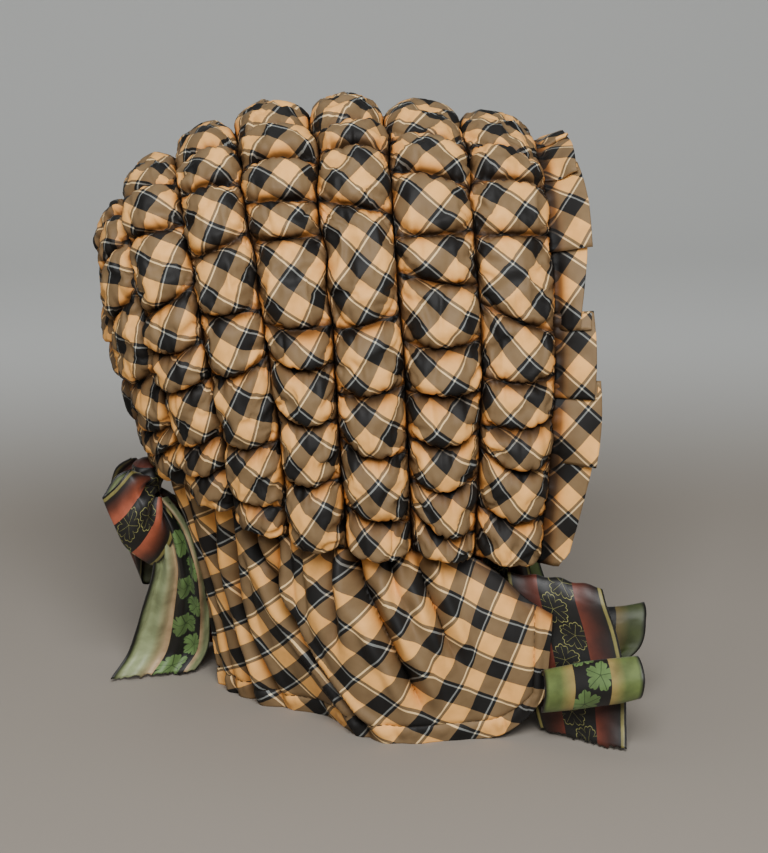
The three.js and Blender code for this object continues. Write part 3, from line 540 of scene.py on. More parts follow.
def ruffle_grid(q):
    """Grid of the face ruffle with its cloth distances and the reach of each point from the seam. The cloth
    runs up each pleat, 8 mm on under the next one and back out, a flattened Z, so that every pleat lies over
    the one below. Across, it leans out from the face seam by 0.16 to 0.55 rad, most at the crown."""
    ph = np.linspace(0, np.pi, 801)
    p, n, c = seam_frame(0, ph)
    dist = run_length(p)
    total = dist[-1]
    rnd = np.random.default_rng(5)

    def side_run(edges):
        rows = []
        for (a, b), (_, low, high) in zip(zip(edges[:-1], edges[1:]), PLEATS):
            u, w = np.linspace(0, 1, 24), np.linspace(0, 1, 9)[1:-1]
            tip = rnd.uniform(-0.6, 0.6)
            lift = (1 - smooth(u * 1.1)) * (0.72 + 0.28 * smooth(u * 9))
            belly = 0.96 + 0.09 * np.sin(np.pi * (0.1 + 0.75 * (1 - u)))
            reach = mix(low, high, u ** 1.4) * belly + tip * (2 * u - 1)
            rows.append(np.stack([mix(a, b + UNDER, u), lift, reach]))
            rows.append(np.stack([b + UNDER - 1.1 * UNDER * w, 0.7 * w, high * 0.94 + 0 * w]))
        return np.concatenate(rows, 1)
    marks = both_sides([m for m, _, _ in PLEATS], total)
    near = side_run([0, *marks[:6]])
    far = side_run([0, *(total - m for m in reversed(marks[6:]))])
    u = np.linspace(0, 1, 40)
    mid = np.stack([mix(marks[5], marks[6], u), 0.55 + 0.45 * np.abs(2 * u - 1), 16 + 0.6 * np.sin(5 * u)])
    far = far[:, ::-1] * np.array([[-1], [1], [1]]) + np.array([[total], [0], [0]])
    s, lift, reach = np.concatenate([near, mid, far], 1)
    cloth = np.concatenate([[0], np.cumsum(np.abs(np.diff(s)))])
    x = np.clip(s, 0.01, total - 0.01)
    P, N, C = (np.stack([np.interp(x, dist, f[:, k]) for k in range(3)], -1)[:, None] for f in (p, n, c))
    lean = mix(0.16, 0.55, smooth(1 - np.abs(1 - 2 * x / total)))[:, None, None]
    out, up = -C * np.cos(lean) + N * np.sin(lean), N * np.cos(lean) + C * np.sin(lean)
    reach = reach * mix(0.7, 1, smooth(x / 8) * smooth((total - x) / 8))
    w = np.linspace(0, 1, 18)[None, :, None]
    share, run = w[..., 0], cloth[:, None]
    crimp = 0.5 * np.sin(run * 0.9) * np.exp(-share * 5) + noise(run / 11, share * 2.2, 8)
    rise = lift[:, None, None] * (3.2 * np.clip(w * 1.4, 0, 1) + 0.7) + crimp[..., None] * q.wrinkle_depth * 1000
    # the inner edge is tucked 0.9 mm behind the seam
    base = mix(-0.9, 0.5 + 0.45 * np.sin(lean), smooth(w / 0.1))
    G = P - C * base + out * reach[:, None, None] * w + up * rise
    return G, cloth, reach[:, None] * share


def curtain_grid(q, rows=440, cols=110):
    """Grid of the neck curtain with its outward normals, top distances, depths, distances round the neck and
    the fields fold (painted shade below the top seam, under the tubes, and in the valleys of the folds), hem (mm
    from the edge) and run (mm along it). A point runs from the top row to the hem,
    with t^0.94 for its height; it swells by sin(pi t^0.85) and falls in the table's folds, which are
    exp(-d^1.35) deep at d widths from their middle, with raised shoulders. Fine gathers leave the top seam,
    and the stitched hem puckers. The top edge goes up to 3 mm into the ends of the tubes."""
    near = np.linspace(0, 11, rows // 2)
    at = np.concatenate([near, near[-2::-1]])[:, None]
    far = np.concatenate([np.zeros(len(near), bool), np.ones(len(near) - 1, bool)])[:, None]
    t = np.linspace(0, 1, cols)[None, :]
    c = [column(CURTAIN[:, k], at) for k in range(7)]
    x, y = mix(c[0], c[3], t), mix(c[1], c[4], t)
    z = mix(c[2], c[5], t ** 0.94)
    a0, a1 = np.clip(at - 0.05, 0, 11), np.clip(at + 0.05, 0, 11)
    tx = sum(column(CURTAIN[:, k], a1) - column(CURTAIN[:, k], a0) for k in (0, 3))
    ty = sum(column(CURTAIN[:, k], a1) - column(CURTAIN[:, k], a0) for k in (1, 4))
    run = np.maximum(np.hypot(tx, ty), 1e-6)
    nx, ny = -ty / run, tx / run
    nx, ny = np.where(at > 10.98, 0, nx), np.where(at > 10.98, 1, ny)
    off = c[6] * np.sin(np.pi * t ** 0.85)
    rows_at = np.arange(12.0)
    run_top, run_hem = run_length(CURTAIN[:, :2]), run_length(CURTAIN[:, 3:5])

    def along(a):
        return mix(np.interp(a, rows_at, run_top), np.interp(a, rows_at, run_hem), t)
    valley = 0
    for k, (top_at, mid_at, hem_at, depth, width, starts, ends) in enumerate(FOLDS):
        mid = column([top_at, mid_at, hem_at], 2 * t) + np.where(far, 0.25 * math.sin(1.7 * k + 0.6), 0)
        d = np.abs(along(at) - along(mid)) / width
        fade = smooth((ends - t) / 0.25) * smooth((t - starts + 0.1) / 0.12) * smooth(t / 0.1 + 0.2)
        off = off + depth * fade * (0.42 * np.exp(-(d - 2.0) ** 2 * 1.3) - np.exp(-d ** 1.35))
        valley = valley + depth * fade * np.exp(-(1.4 * d) ** 2)
    sx = np.where(far, -1, 1)
    top = np.stack([sx * c[0], c[1], c[2]], -1)[:, 0]
    arc = run_length(top)
    A = arc[:, None]
    deep = np.linalg.norm(np.stack([c[0] - c[3], c[1] - c[4], c[2] - c[5]], -1), axis=-1)
    D = deep * t
    back = smooth((at - 3.2) / 2.2)
    g = 1.5 * np.exp(-D / 26) * back * np.sin(2 * np.pi * (A / 8.5 + 0.5 * noise(A / 19, D / 60, 2)))
    g += 0.9 * back * noise(A / 7 + 0.25 * D / 10, D / 45, 4) * np.exp(-D / 70)
    g += 0.7 * noise(A / 13 + D / 40, D / 26, 11) + 0.25 * noise(A / 4.5, D / 7, 12)
    edge = np.minimum(deep - D, np.minimum(A, arc[-1] - A))
    groove = np.exp(-((edge - STITCHES) / 1.3) ** 2)
    pucker = 0.6 + 0.8 * np.sin(A / 1.6 + 3 * noise(A / 9, 0, 3))
    g += -0.9 * groove + 0.45 * np.exp(-((edge - STITCHES + 4) / 2.4) ** 2) * pucker
    off = off + g * np.clip(D / 3, 0.15, 1) * q.wrinkle_depth * 1000
    held = np.exp(-(D / 2.5) ** 2) * smooth((at - 4) / 2)
    off, z = off - 1.8 * held, z + 3.0 * held * smooth((11.8 - at) / 1.5)
    P = np.stack([sx * (x + nx * off), y + ny * off, z + 0 * off], -1)
    N = np.stack(np.broadcast_arrays(sx * nx, ny, 0 * (at + t)), -1)
    # painted shade: fold darkens the curtain just below its top seam, under the tubes, and in the valleys of its
    # folds
    fields = (("fold", np.clip(0.9 * np.exp(-D / 3.5) + 0.08 * valley, 0, 1)), ("hem", edge),
              ("run", np.where(deep - D < np.minimum(A, arc[-1] - A), A, D + 0 * A)))
    round_neck = np.where(far, 2 * along(np.array([[11.0]])) - along(at), along(at))
    return P, N, arc, deep, round_neck, fields


def ribbon_grid(path, width, seed, tuck, cols=31):
    """Grid of a ribbon run through its stations, with its distances and places across from -1 to 1. Where
    the stations gather it to less than its width it ripples across in 3.5 half waves, deep enough to keep
    its full width of cloth. tuck moves the half past its middle by the 1.6th power of the place across."""
    at = np.linspace(0, len(path) - 1, (len(path) - 1) * STEPS + 1)
    v = np.stack([column(np.array(path)[:, k], at) for k in range(7)], -1)
    p, w, k = v[:, :3], unit(v[:, 3:6]), v[:, 6:7]
    t = unit(np.gradient(p, axis=0))
    m = unit(np.cross(t, w))
    u = np.linspace(-1, 1, cols)[None, :]
    dist = run_length(p)
    slack, n = np.sqrt(np.clip(1 / np.clip(k, 0.2, 1) ** 2 - 1, 0, 30)), 3.5
    deep = np.minimum(k * width / n / (2 * np.pi) * slack * 1.3, 2.6)
    ripple = deep * np.sin(np.pi * n * u + 0.8 * noise(dist[:, None] / 14, u * 1.4, seed))
    ripple = ripple + 0.55 * noise(dist[:, None] / 11, u * 1.7 + 9, seed + 1)
    ripple = ripple + np.where(k < 0.95, 0, 0.8) * (1 - u * u)
    P = p[:, None] + w[:, None] * (width / 2 * k * u)[..., None] + m[:, None] * ripple[..., None]
    P = P + (np.clip(u, 0, 1) ** 1.6 * k)[..., None] * np.array(tuck)
    if path[-1][2] < 5:  # an end that is cut and hangs to the table is ragged
        ragged = np.random.default_rng(seed).uniform(0, 1, cols) ** 1.5 * 2.3
        P[-1] += t[-1] * ragged[:, None]
    return P, dist, u


# ---- materials ----

WHITE = (1, 1, 1)


def new_material(name, rough, sheen=0.0):
    mat = bpy.data.materials.new(name)
    mat.use_nodes = True
    sh = mat.node_tree.nodes["Principled BSDF"]
    sh.inputs["Roughness"].default_value = rough
    sh.inputs["Sheen Weight"].default_value = sheen
    sh.inputs["Sheen Roughness"].default_value = 0.4
    return mat, mat.node_tree, sh


def srgb(r, g, b):
    """Linear colour of an sRGB one given from 0 to 255."""
    return [((x / 255 + 0.055) / 1.055) ** 2.4 if x > 10 else x / 255 / 12.92 for x in (r, g, b)]


def maths(nt, op, a, b=None, c=None):
    n = nt.nodes.new("ShaderNodeMath")
    n.operation = op
    for k, x in enumerate((a, b, c)):
        if x is None:
            continue
        if isinstance(x, (int, float)):
            n.inputs[k].default_value = x
        else:
            nt.links.new(x, n.inputs[k])
    return n.outputs[0]


def ramp(nt, factor, stops, how="CONSTANT"):
    n = nt.nodes.new("ShaderNodeValToRGB")
    n.color_ramp.interpolation = how
    e = n.color_ramp.elements
    while len(e) < len(stops):
        e.new(0.5)
    for el, (pos, col) in zip(e, sorted(stops, key=lambda s: s[0])):
        el.position, el.color = pos, (*col, 1)
    nt.links.new(factor, n.inputs[0])
    return n.outputs[0]


def blend(nt, factor, a, b, how="MIX"):
    n = nt.nodes.new("ShaderNodeMix")
    n.data_type, n.blend_type = "RGBA", how
    for x, k in ((factor, 0), (a, 6), (b, 7)):
        if isinstance(x, (int, float)):
            n.inputs[k].default_value = x
        elif isinstance(x, (tuple, list)):
            n.inputs[k].default_value = (*x, 1)
        else:
            nt.links.new(x, n.inputs[k])
    return n.outputs[2]


def multiply(nt, a, b):
    return blend(nt, 1.0, a, b, "MULTIPLY")


def blend_value(nt, factor, a, b):
    n = nt.nodes.new("ShaderNodeMix")
    for x, k in ((factor, 0), (a, 2), (b, 3)):
        nt.links.new(x, n.inputs[k])
    return n.outputs[0]


def cloth_uv(nt):
    uv = nt.nodes.new("ShaderNodeUVMap")
    uv.uv_map = "cloth"
    sep = nt.nodes.new("ShaderNodeSeparateXYZ")
    nt.links.new(uv.outputs[0], sep.inputs[0])
    return uv.outputs[0], sep.outputs[0], sep.outputs[1]


def cloud(nt, vec, scale, detail):
    """Soft random value on the cloth."""
    n = nt.nodes.new("ShaderNodeTexNoise")
    n.inputs["Scale"].default_value = scale
    n.inputs["Detail"].default_value = detail
    nt.links.new(vec, n.inputs["Vector"])
    return n.outputs[0]


def field(nt, name):
    """Value of a mesh attribute."""
    at = nt.nodes.new("ShaderNodeAttribute")
    at.attribute_name = name
    return at.outputs["Fac"]


def weave_bump(nt, sh, u, v, threads, strength):
    """Fine crossed threads as a bump."""
    a = maths(nt, "SINE", maths(nt, "MULTIPLY", u, threads))
    b = maths(nt, "SINE", maths(nt, "MULTIPLY", v, threads))
    bump = nt.nodes.new("ShaderNodeBump")
    bump.inputs["Strength"].default_value = strength
    bump.inputs["Distance"].default_value = 0.0002
    nt.links.new(maths(nt, "ADD", a, b), bump.inputs["Height"])
    nt.links.new(bump.outputs[0], sh.inputs["Normal"])


def plaid_material(name, q):
    """Woven plaid: the same sett of black, light, thin black and gold in warp and weft. The two are averaged
    as display values, which darkens the mixed squares the way crossed yarns do, then taken back by a gamma.
    The attribute fold paints shade into seams, creases and other hollows, warm near its edge as a painted
    reflection of light bounced between folds, and hem and run draw the stitches of a hem."""
    mat, nt, sh = new_material(name, q.silk_roughness)
    sh.inputs["Specular IOR Level"].default_value = 0.2
    vec, u, v = cloth_uv(nt)
    shown = 2.5
    black, light, gold = ([x ** (1 / shown) for x in c] for c in (q.black, q.light, q.gold))
    sett = [(0.0, black), (0.402, light), (0.44, black), (0.51, gold)]
    warp = ramp(nt, maths(nt, "FRACT", u), sett)
    weft = ramp(nt, maths(nt, "FRACT", v), sett)
    gamma = nt.nodes.new("ShaderNodeGamma")
    gamma.inputs["Gamma"].default_value = shown
    nt.links.new(blend(nt, 0.5, warp, weft), gamma.inputs["Color"])
    # squares where the yarns differ are darker and greyer
    apart = blend(nt, 1.0, warp, weft, "DIFFERENCE")
    crossed = ramp(nt, apart, [(0.0, WHITE), (0.8, (0.76, 0.92, 1.32))], "LINEAR")
    # painted shade from the fold attribute: darker toward seams, creases and hollows, with a warm painted
    # reflection at 0.3
    folds = ramp(nt, field(nt, "fold"), [(0.0, WHITE), (0.3, (0.80, 0.70, 0.62)), (0.65, (0.28, 0.215, 0.175)),
                                         (1.0, tuple(q.fold_shade_tint))], "LINEAR")
    soil = ramp(nt, cloud(nt, vec, 1.9, 4), [(0.32, (0.82, 0.80, 0.78)), (0.6, WHITE)], "LINEAR")
    col = multiply(nt, multiply(nt, multiply(nt, gamma.outputs[0], crossed), folds), soil)
    # stitches 0.5 mm to each side of their line, 0.55 of each 3.7 mm long
    line = maths(nt, "LESS_THAN", maths(nt, "ABSOLUTE", maths(nt, "SUBTRACT", field(nt, "hem"), STITCHES)), 0.5)
    dash = maths(nt, "LESS_THAN", maths(nt, "FRACT", maths(nt, "MULTIPLY", field(nt, "run"), 0.27)), 0.55)
    col = blend(nt, maths(nt, "MULTIPLY", line, dash), col, (0.02, 0.014, 0.01))
    nt.links.new(col, sh.inputs["Base Color"])
    weave_bump(nt, sh, u, v, 330.0, 0.12)
    return mat


def plain_material(name, colour, rough):
    mat, _, sh = new_material(name, rough)
    sh.inputs["Base Color"].default_value = (*colour, 1)
    return mat


def leaf(nt, x, y, size, turn):
    """How far inside (positive) a leaf of five rounded, scalloped lobes, in the units of x and y, and the
    closeness to a rib between lobes."""
    r = maths(nt, "SQRT", maths(nt, "ADD", maths(nt, "MULTIPLY", x, x), maths(nt, "MULTIPLY", y, y)))
    a = maths(nt, "ADD", maths(nt, "ARCTAN2", x, y), turn)
    big = maths(nt, "POWER", maths(nt, "ABSOLUTE", maths(nt, "COSINE", maths(nt, "MULTIPLY", a, 2.5))), 0.55)
    small = maths(nt, "ABSOLUTE", maths(nt, "COSINE", maths(nt, "MULTIPLY", a, 7.5)))
    edge = maths(nt, "MULTIPLY_ADD", small, 0.12 * size, maths(nt, "MULTIPLY_ADD", big, 0.42 * size, 0.46 * size))
    rib = maths(nt, "MULTIPLY", maths(nt, "ABSOLUTE", maths(nt, "SINE", maths(nt, "MULTIPLY", a, 2.5))), r)
    return maths(nt, "SUBTRACT", edge, r), rib


def ribbon_stripes(q, reverse, painted_light):
    """Colours from a selvedge (0) to the middle band (0.33), of the side and of the painted light (0 to 1), which
    turns them to the paler colours of a ribbon in the key light.
    """
    line, black = srgb(16, 15, 12), srgb(20, 19, 17)
    if reverse:
        # painted light: toward the paler green and tan of a ribbon in the key light
        green = mix(np.array(q.reverse_green), np.array(srgb(150, 160, 118)), painted_light)
        tan = mix(np.array(srgb(146, 128, 74)), np.array(srgb(176, 148, 112)), painted_light)
        return [(0.0, line), (0.012, line), (0.02, srgb(58, 68, 36)), (0.05, green), (0.17, green),
                (0.29, tan), (0.315, tan), (0.33, black)]
    edge, dark = tuple(q.edge), np.array(srgb(36, 22, 17))
    # painted light: toward the paler rust of a ribbon in the key light
    rust = mix(np.array(q.rust), np.array(srgb(168, 88, 62)), painted_light)
    return [(0.0, line), (0.016, line), (0.022, edge), (0.05, edge), (0.056, line), (0.09, dark),
            (0.16, mix(dark, rust, 0.15 + 0.15 * painted_light)), (0.25, mix(dark, rust, 0.55 + 0.35 * painted_light)),
            (0.318, rust), (0.33, black)]


def ribbon_material(name, q, reverse):
    """Ribbon with bright selvedges, a shaded stripe on each side and a black middle band of lobed leaves,
    drawn in outline on the face and filled on the reverse. u runs across in ribbon widths, v along."""
    mat, nt, sh = new_material(name, 0.5, 0.08)
    vec, u, v = cloth_uv(nt)
    black, wide = srgb(20, 19, 17), round(q.width * 1000, 2)
    from_middle = maths(nt, "SUBTRACT", u, 0.5)
    from_edge = maths(nt, "SUBTRACT", 0.5, maths(nt, "ABSOLUTE", from_middle))
    haze = maths(nt, "SUBTRACT", cloud(nt, vec, 26, 3), 0.5)
    from_edge = maths(nt, "MULTIPLY_ADD", haze, 0.006, from_edge)
    # painted light: the first ramp holds the deeper colours, the second the paler ones of a ribbon in the key
    # light, blended by the attribute
    new, old = (ramp(nt, from_edge, ribbon_stripes(q, reverse, painted_light), "LINEAR") for painted_light in (0.0, 1.0))
    base = blend(nt, field(nt, "painted_light"), new, old)
    # leaves along the middle band, in millimetres from the band's middle
    x = maths(nt, "MULTIPLY", from_middle, wide)
    inside, rib = None, None
    for period, dx, dy, size, turn in ((25.0, 3.4, 0.0, 7.6, 0.5), (25.0, -3.6, 12.5, 7.2, 3.4)):
        y = maths(nt, "FRACT", maths(nt, "MULTIPLY_ADD", v, wide / period, dy / period))
        y = maths(nt, "MULTIPLY", maths(nt, "SUBTRACT", y, 0.5), period)
        d, b = leaf(nt, maths(nt, "ADD", x, dx), y, size, turn)
        rib = b if rib is None else blend_value(nt, maths(nt, "GREATER_THAN", d, inside), rib, b)
        inside = d if inside is None else maths(nt, "MAXIMUM", inside, d)
    if reverse:
        art = blend(nt, maths(nt, "LESS_THAN", rib, 0.45), srgb(98, 126, 72), srgb(54, 74, 38))
        band = blend(nt, maths(nt, "GREATER_THAN", inside, 0.0), black, art)
    else:
        outline = maths(nt, "LESS_THAN", maths(nt, "ABSOLUTE", inside), 0.19)
        ribs = maths(nt, "MULTIPLY", maths(nt, "LESS_THAN", rib, 0.16), maths(nt, "GREATER_THAN", inside, 1.2))
        band = blend(nt, maths(nt, "MAXIMUM", outline, ribs), black, srgb(140, 138, 82))
    middle = maths(nt, "LESS_THAN", maths(nt, "ABSOLUTE", x), 8.4)
    # painted shade: ribbons that hang in shade behind the chin or on the far side are darkened by their dark field
    shade = ramp(nt, field(nt, "dark"), [(0.0, WHITE), (1.0, (0.22, 0.21, 0.18))], "LINEAR")
    soil = ramp(nt, cloud(nt, vec, 5, 6), [(0.36, (0.66, 0.65, 0.62)), (0.6, (1.04, 1.04, 1.04))], "LINEAR")
    col = multiply(nt, multiply(nt, blend(nt, middle, base, band), shade), soil)
    nt.links.new(col, sh.inputs["Base Color"])
    weave_bump(nt, sh, u, v, 700.0, 0.1)
    return mat


# ---- settings ----

LENGTH = {"unit": "LENGTH", "subtype": "DISTANCE"}
COLOUR = {"size": 3, "subtype": "COLOR", "min": 0, "max": 1}


class HoodSilkSettings(bpy.types.PropertyGroup):
    puff_fullness: bpy.props.FloatProperty(
        name="Puff fullness", description="Puff height as a share of the quilted one",
        default=1.0, min=0.5, max=1.2)
    crease_depth: bpy.props.FloatProperty(
        name="Crease depth", description="Share of the puff height lost at a crease", default=0.62, min=0, max=0.9)
    wrinkle_depth: bpy.props.FloatProperty(
        name="Wrinkle depth", description="Depth of the gathers along seams and creases",
        default=0.0013, min=0, max=0.003, **LENGTH)
    spare_silk: bpy.props.FloatProperty(
        name="Spare silk", description="How much larger the silk is than the puffs it covers",
        default=0.045, min=0, max=0.3)
    pressure: bpy.props.FloatProperty(
        name="Wadding pressure", description="Pressure of the wadding on the silk as it settles",
        default=3.0, min=0, max=20)
    settle_frames: bpy.props.IntProperty(
        name="Settling frames", description="Frames that the silk is given to settle", default=12, min=2, max=60)
    repeat: bpy.props.FloatProperty(
        name="Plaid repeat", description="Size of one repeat of the plaid",
        default=0.0184, min=0.005, max=0.05, **LENGTH)
    silk_roughness: bpy.props.FloatProperty(
        name="Silk roughness", description="Roughness of the silk's surface", default=0.55, min=0.1, max=1)
    gold: bpy.props.FloatVectorProperty(
        name="Gold", description="Colour of the gold yarn", default=srgb(251, 186, 104), **COLOUR)
    black: bpy.props.FloatVectorProperty(
        name="Black", description="Colour of the black yarn", default=srgb(30, 29, 28), **COLOUR)
    light: bpy.props.FloatVectorProperty(
        name="Light line", description="Colour of the pale yarn", default=srgb(246, 232, 190), **COLOUR)
    # painted shade: the colour that the fold attribute multiplies in at its darkest
    fold_shade_tint: bpy.props.FloatVectorProperty(
        name="Fold tint", description="Tint of the silk deep inside folds", default=(0.07, 0.05, 0.042), **COLOUR)
    inside: bpy.props.FloatVectorProperty(
        name="Inside", description="Colour of the plain cotton inside", default=srgb(134, 104, 74), **COLOUR)


class HoodRibbonSettings(bpy.types.PropertyGroup):
    width: bpy.props.FloatProperty(
        name="Ribbon width", description="Width of the ribbon", default=0.046, min=0.02, max=0.08, **LENGTH)
    thickness: bpy.props.FloatProperty(
        name="Ribbon thickness", description="Thickness of the ribbon",
        default=0.0008, min=0.0003, max=0.003, **LENGTH)
    edge: bpy.props.FloatVectorProperty(
        name="Selvedge stripe", description="Colour of the stripe by each selvedge",
        default=srgb(130, 122, 68), **COLOUR)
    rust: bpy.props.FloatVectorProperty(
        name="Rust", description="Colour of the shaded stripes on the face", default=srgb(104, 48, 34), **COLOUR)
    reverse_green: bpy.props.FloatVectorProperty(
        name="Reverse green", description="Colour of the outer parts of the reverse",
        default=srgb(100, 116, 62), **COLOUR)


class HoodStageSettings(bpy.types.PropertyGroup):
    camera_turn: bpy.props.FloatProperty(
        name="Camera turn", description="How far the camera stands behind the wearer's right side",
        default=math.radians(3), subtype="ANGLE")
    camera_rise: bpy.props.FloatProperty(
        name="Camera rise", description="Height of the camera above the horizon",
        default=math.radians(15), subtype="ANGLE")
    camera_distance: bpy.props.FloatProperty(
        name="Camera distance", description="Distance from the middle of the hood", default=1.3, **LENGTH)
    lens: bpy.props.FloatProperty(
        name="Lens", description="Focal length in millimetres", default=114.3, min=20, max=300)
    floor_colour: bpy.props.FloatVectorProperty(
        name="Floor colour", description="Colour of the paper on the floor",
        default=(0.284, 0.252, 0.213), **COLOUR)
    wall_colour: bpy.props.FloatVectorProperty(
        name="Wall colour", description="Colour of the paper behind the hood",
        default=(0.66, 0.668, 0.643), **COLOUR)


def found(name, make):
    """The material of that name, made if it isn't there yet."""
    return bpy.data.materials.get(name) or make(name)


def silk_pair(q):
    return (found("look_plaid_silk", lambda n: plaid_material(n, q)),
            found("look_plain_cotton", lambda n: plain_material(n, tuple(q.inside), 0.9)))


def set_out(ob, node):
    """Puts a piece in place of its solid, on the one body of the hood."""
    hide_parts(node)
    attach(ob, "root")


def wadded_piece(name, tables, marks, height, seed, q, **more):
    """One padded channel, settled as cloth and set in place of its solid."""
    verts, quads, uv, index, fold, sewn, push = channel(tables, marks, height, seed, q, **more)
    ob = mesh_object(name + "_silk", verts, quads, silk_pair(q), uv, index, [("fold", fold)])
    settle(ob, sewn, push, q)
    set_out(ob, name)


def look_from(context, ob, at, to):
    """Puts a camera or light in the scene at one point, turned toward another."""
    context.collection.objects.link(ob)
    ob.location = at
    ob.rotation_mode = "QUATERNION"
    ob.rotation_quaternion = (Vector(to) - Vector(at)).to_track_quat("-Z", "Y")


def knot_piece(name, centre, radius, squash, mat):
    """A tight knot: a ball in polar angles th and ph whose radius waves by 6 percent nine times from top to
    bottom and by 4 percent five times round."""
    th, ph = np.linspace(0, np.pi, 40)[:, None], np.linspace(0, 2 * np.pi, 73)[None, :-1]
    rib = 1 + 0.06 * np.sin(9 * th + 1.3 * np.sin(2 * ph)) + 0.04 * np.cos(5 * ph)
    ball = np.stack([np.sin(th) * np.cos(ph) * rib, np.sin(th) * np.sin(ph) * rib, np.cos(th) + 0 * ph], -1)
    P = np.array(centre) + ball * np.array(squash) * radius
    quads = grid_quads(40, 72, wrap=True)[:, ::-1]
    uv = np.stack([0.1 + 0.8 * th / np.pi + 0 * ph, 0.5 * np.abs(ph / np.pi - 1) + 0 * th], -1).reshape(-1, 2)
    ob = mesh_object(name + "_ribbon", P.reshape(-1, 3), quads, [mat], uv[quads])
    set_out(ob, name)


def ribbon_piece(row, seed, q, face, back):
    """One run of ribbon from its row of the table, with the named side toward the wearer's right."""
    name, rest, held, seen, look, path = row
    wide = q.width * 1000
    P, dist, u = ribbon_grid(path, wide, seed, TUCKED.get(name, (0, 0, 0)))
    N = grid_normals(P)
    turned = N[look * STEPS, N.shape[1] // 2, 0] >= 0
    band = BAND_AT.get(name, 0.0)
    place = np.where(u > band, (u - band) / (1 - band), (u - band) / (1 + band))
    uv = np.stack([0.5 + 0.5 * place + 0 * dist[:, None], dist[:, None] / wide + 0 * u], -1)
    verts, quads, cuv, index = shell(P, q.thickness * 1000, uv, -N if turned else N)
    if turned:
        quads, cuv = quads[:, ::-1], cuv[:, ::-1]
    # painted light and painted shade of each piece: the first field lightens the ribbons in the key light, the
    # second darkens those that hang in shade behind or on the far side
    fields = [(label, np.full(len(verts), share)) for label, share in
              (("painted_light", PAINTED_LIGHT.get(rest, 0.0)), ("dark", PAINTED_SHADE.get(name, 0.0)))]
    mats, slot = ([face, back], "ribbon_dark") if seen == "face" else ([back, face], "ribbon_green")
    ob = mesh_object(name + "_ribbon", verts, quads, mats, cuv, index, fields)
    set_out(ob, name)


# ---- operators ----

class HOOD_OT_tubes(bpy.types.Operator):
    """Seven wadded tubes over the head, gathered into puffs by creases"""
    bl_idname = "hood.tubes"
    bl_label = "Tubes"

    def execute(self, context):
        q = context.scene.hood_silk
        for i, (name, crown, side, creases) in enumerate(TUBES):
            tables = tube_tables(i, side)
            total = tables[0][-1]

            def height(s):
                over = smooth(1 - np.abs(1 - 2 * s / total) ** 2)
                ends = mix(0.72, 1, smooth(np.minimum(s, total - s) / 6))
                return mix(side, crown, over) * RISE * q.puff_fullness * ends
            wadded_piece(name, tables, [0, *both_sides(creases, total), total], height, 11 + i, q)
        return {"FINISHED"}


class HOOD_OT_back_panel(bpy.types.Operator):
    """Narrow wadded panel down the middle of the back"""
    bl_idname = "hood.back_panel"
    bl_label = "Back panel"

    def execute(self, context):
        q = context.scene.hood_silk
        tables, crown = panel_tables()
        total = tables[0][-1]
        height, creases = BACK_PANEL

        def rise(s):
            return height * RISE * q.puff_fullness * (1 - 0.45 * smooth((s - total * 0.75) / (total * 0.25)))
        marks = [0, *(c for c in creases if c < total - 8), total]
        wadded_piece("back_panel", tables, marks, rise, 40, q, down=-1.0, crown=crown)
        return {"FINISHED"}


class HOOD_OT_ruffle(bpy.types.Operator):
    """Ruffle of flat pleats round the face"""
    bl_idname = "hood.ruffle"
    bl_label = "Face ruffle"

    def execute(self, context):
        q = context.scene.hood_silk
        G, cloth, reach = ruffle_grid(q)
        uv = turned_plaid(-reach, cloth[:, None] + 0 * reach, -38, q)
        verts, quads, cuv, index = shell(G, RUFFLE_THICK, uv)
        silk = silk_pair(q)[0]
        # painted shade: darker near the base seam, where the ruffle lies in the shade of the tube
        fold = np.tile(np.exp(-(reach / 4.6) ** 2).ravel(), 2)
        ob = mesh_object("face_ruffle_silk", verts, quads, [silk, silk], cuv, index, [("fold", fold)])
        set_out(ob, "face_ruffle")
        return {"FINISHED"}


class HOOD_OT_curtain(bpy.types.Operator):
    """Neck curtain gathered under the tubes, with its stitched hem"""
    bl_idname = "hood.curtain"
    bl_label = "Neck curtain"

    def execute(self, context):
        q = context.scene.hood_silk
        P, N, arc, deep, round_neck, fields = curtain_grid(q)
        # the plaid turns toward the back, as on a ring round a point 165 mm below the table whose radius is
        # 210 mm where distances round the neck are true
        r, angle = 165 + P[..., 2], -round_neck / 210
        uv = turned_plaid(r * np.sin(angle), r * np.cos(angle), 14, q)
        Ng = grid_normals(P)
        Ng = Ng * np.sign(np.sum(Ng * N, -1, keepdims=True) + 1e-9)
        verts, quads, cuv, index = shell(P, CURTAIN_THICK, uv, Ng)
        fields = [(label, np.tile((f + 0 * r).ravel(), 2)) for label, f in fields]
        ob = mesh_object("neck_curtain_silk", verts, quads, silk_pair(q), cuv, index, fields)
        set_out(ob, "neck_curtain")
        return {"FINISHED"}


class HOOD_OT_ribbons(bpy.types.Operator):
    """Nape bow, chin ties and chin bow of figured ribbon"""
    bl_idname = "hood.ribbons"
    bl_label = "Ribbons and knots"

    def execute(self, context):
        q = context.scene.hood_ribbon
        face = found("look_ribbon_face", lambda n: ribbon_material(n, q, False))
        back = found("look_ribbon_reverse", lambda n: ribbon_material(n, q, True))
        for row in KNOTS:
            knot_piece(*row, face)
        for k, row in enumerate(RIBBONS):
            ribbon_piece(row, 20 + k, q, face, back)
        return {"FINISHED"}


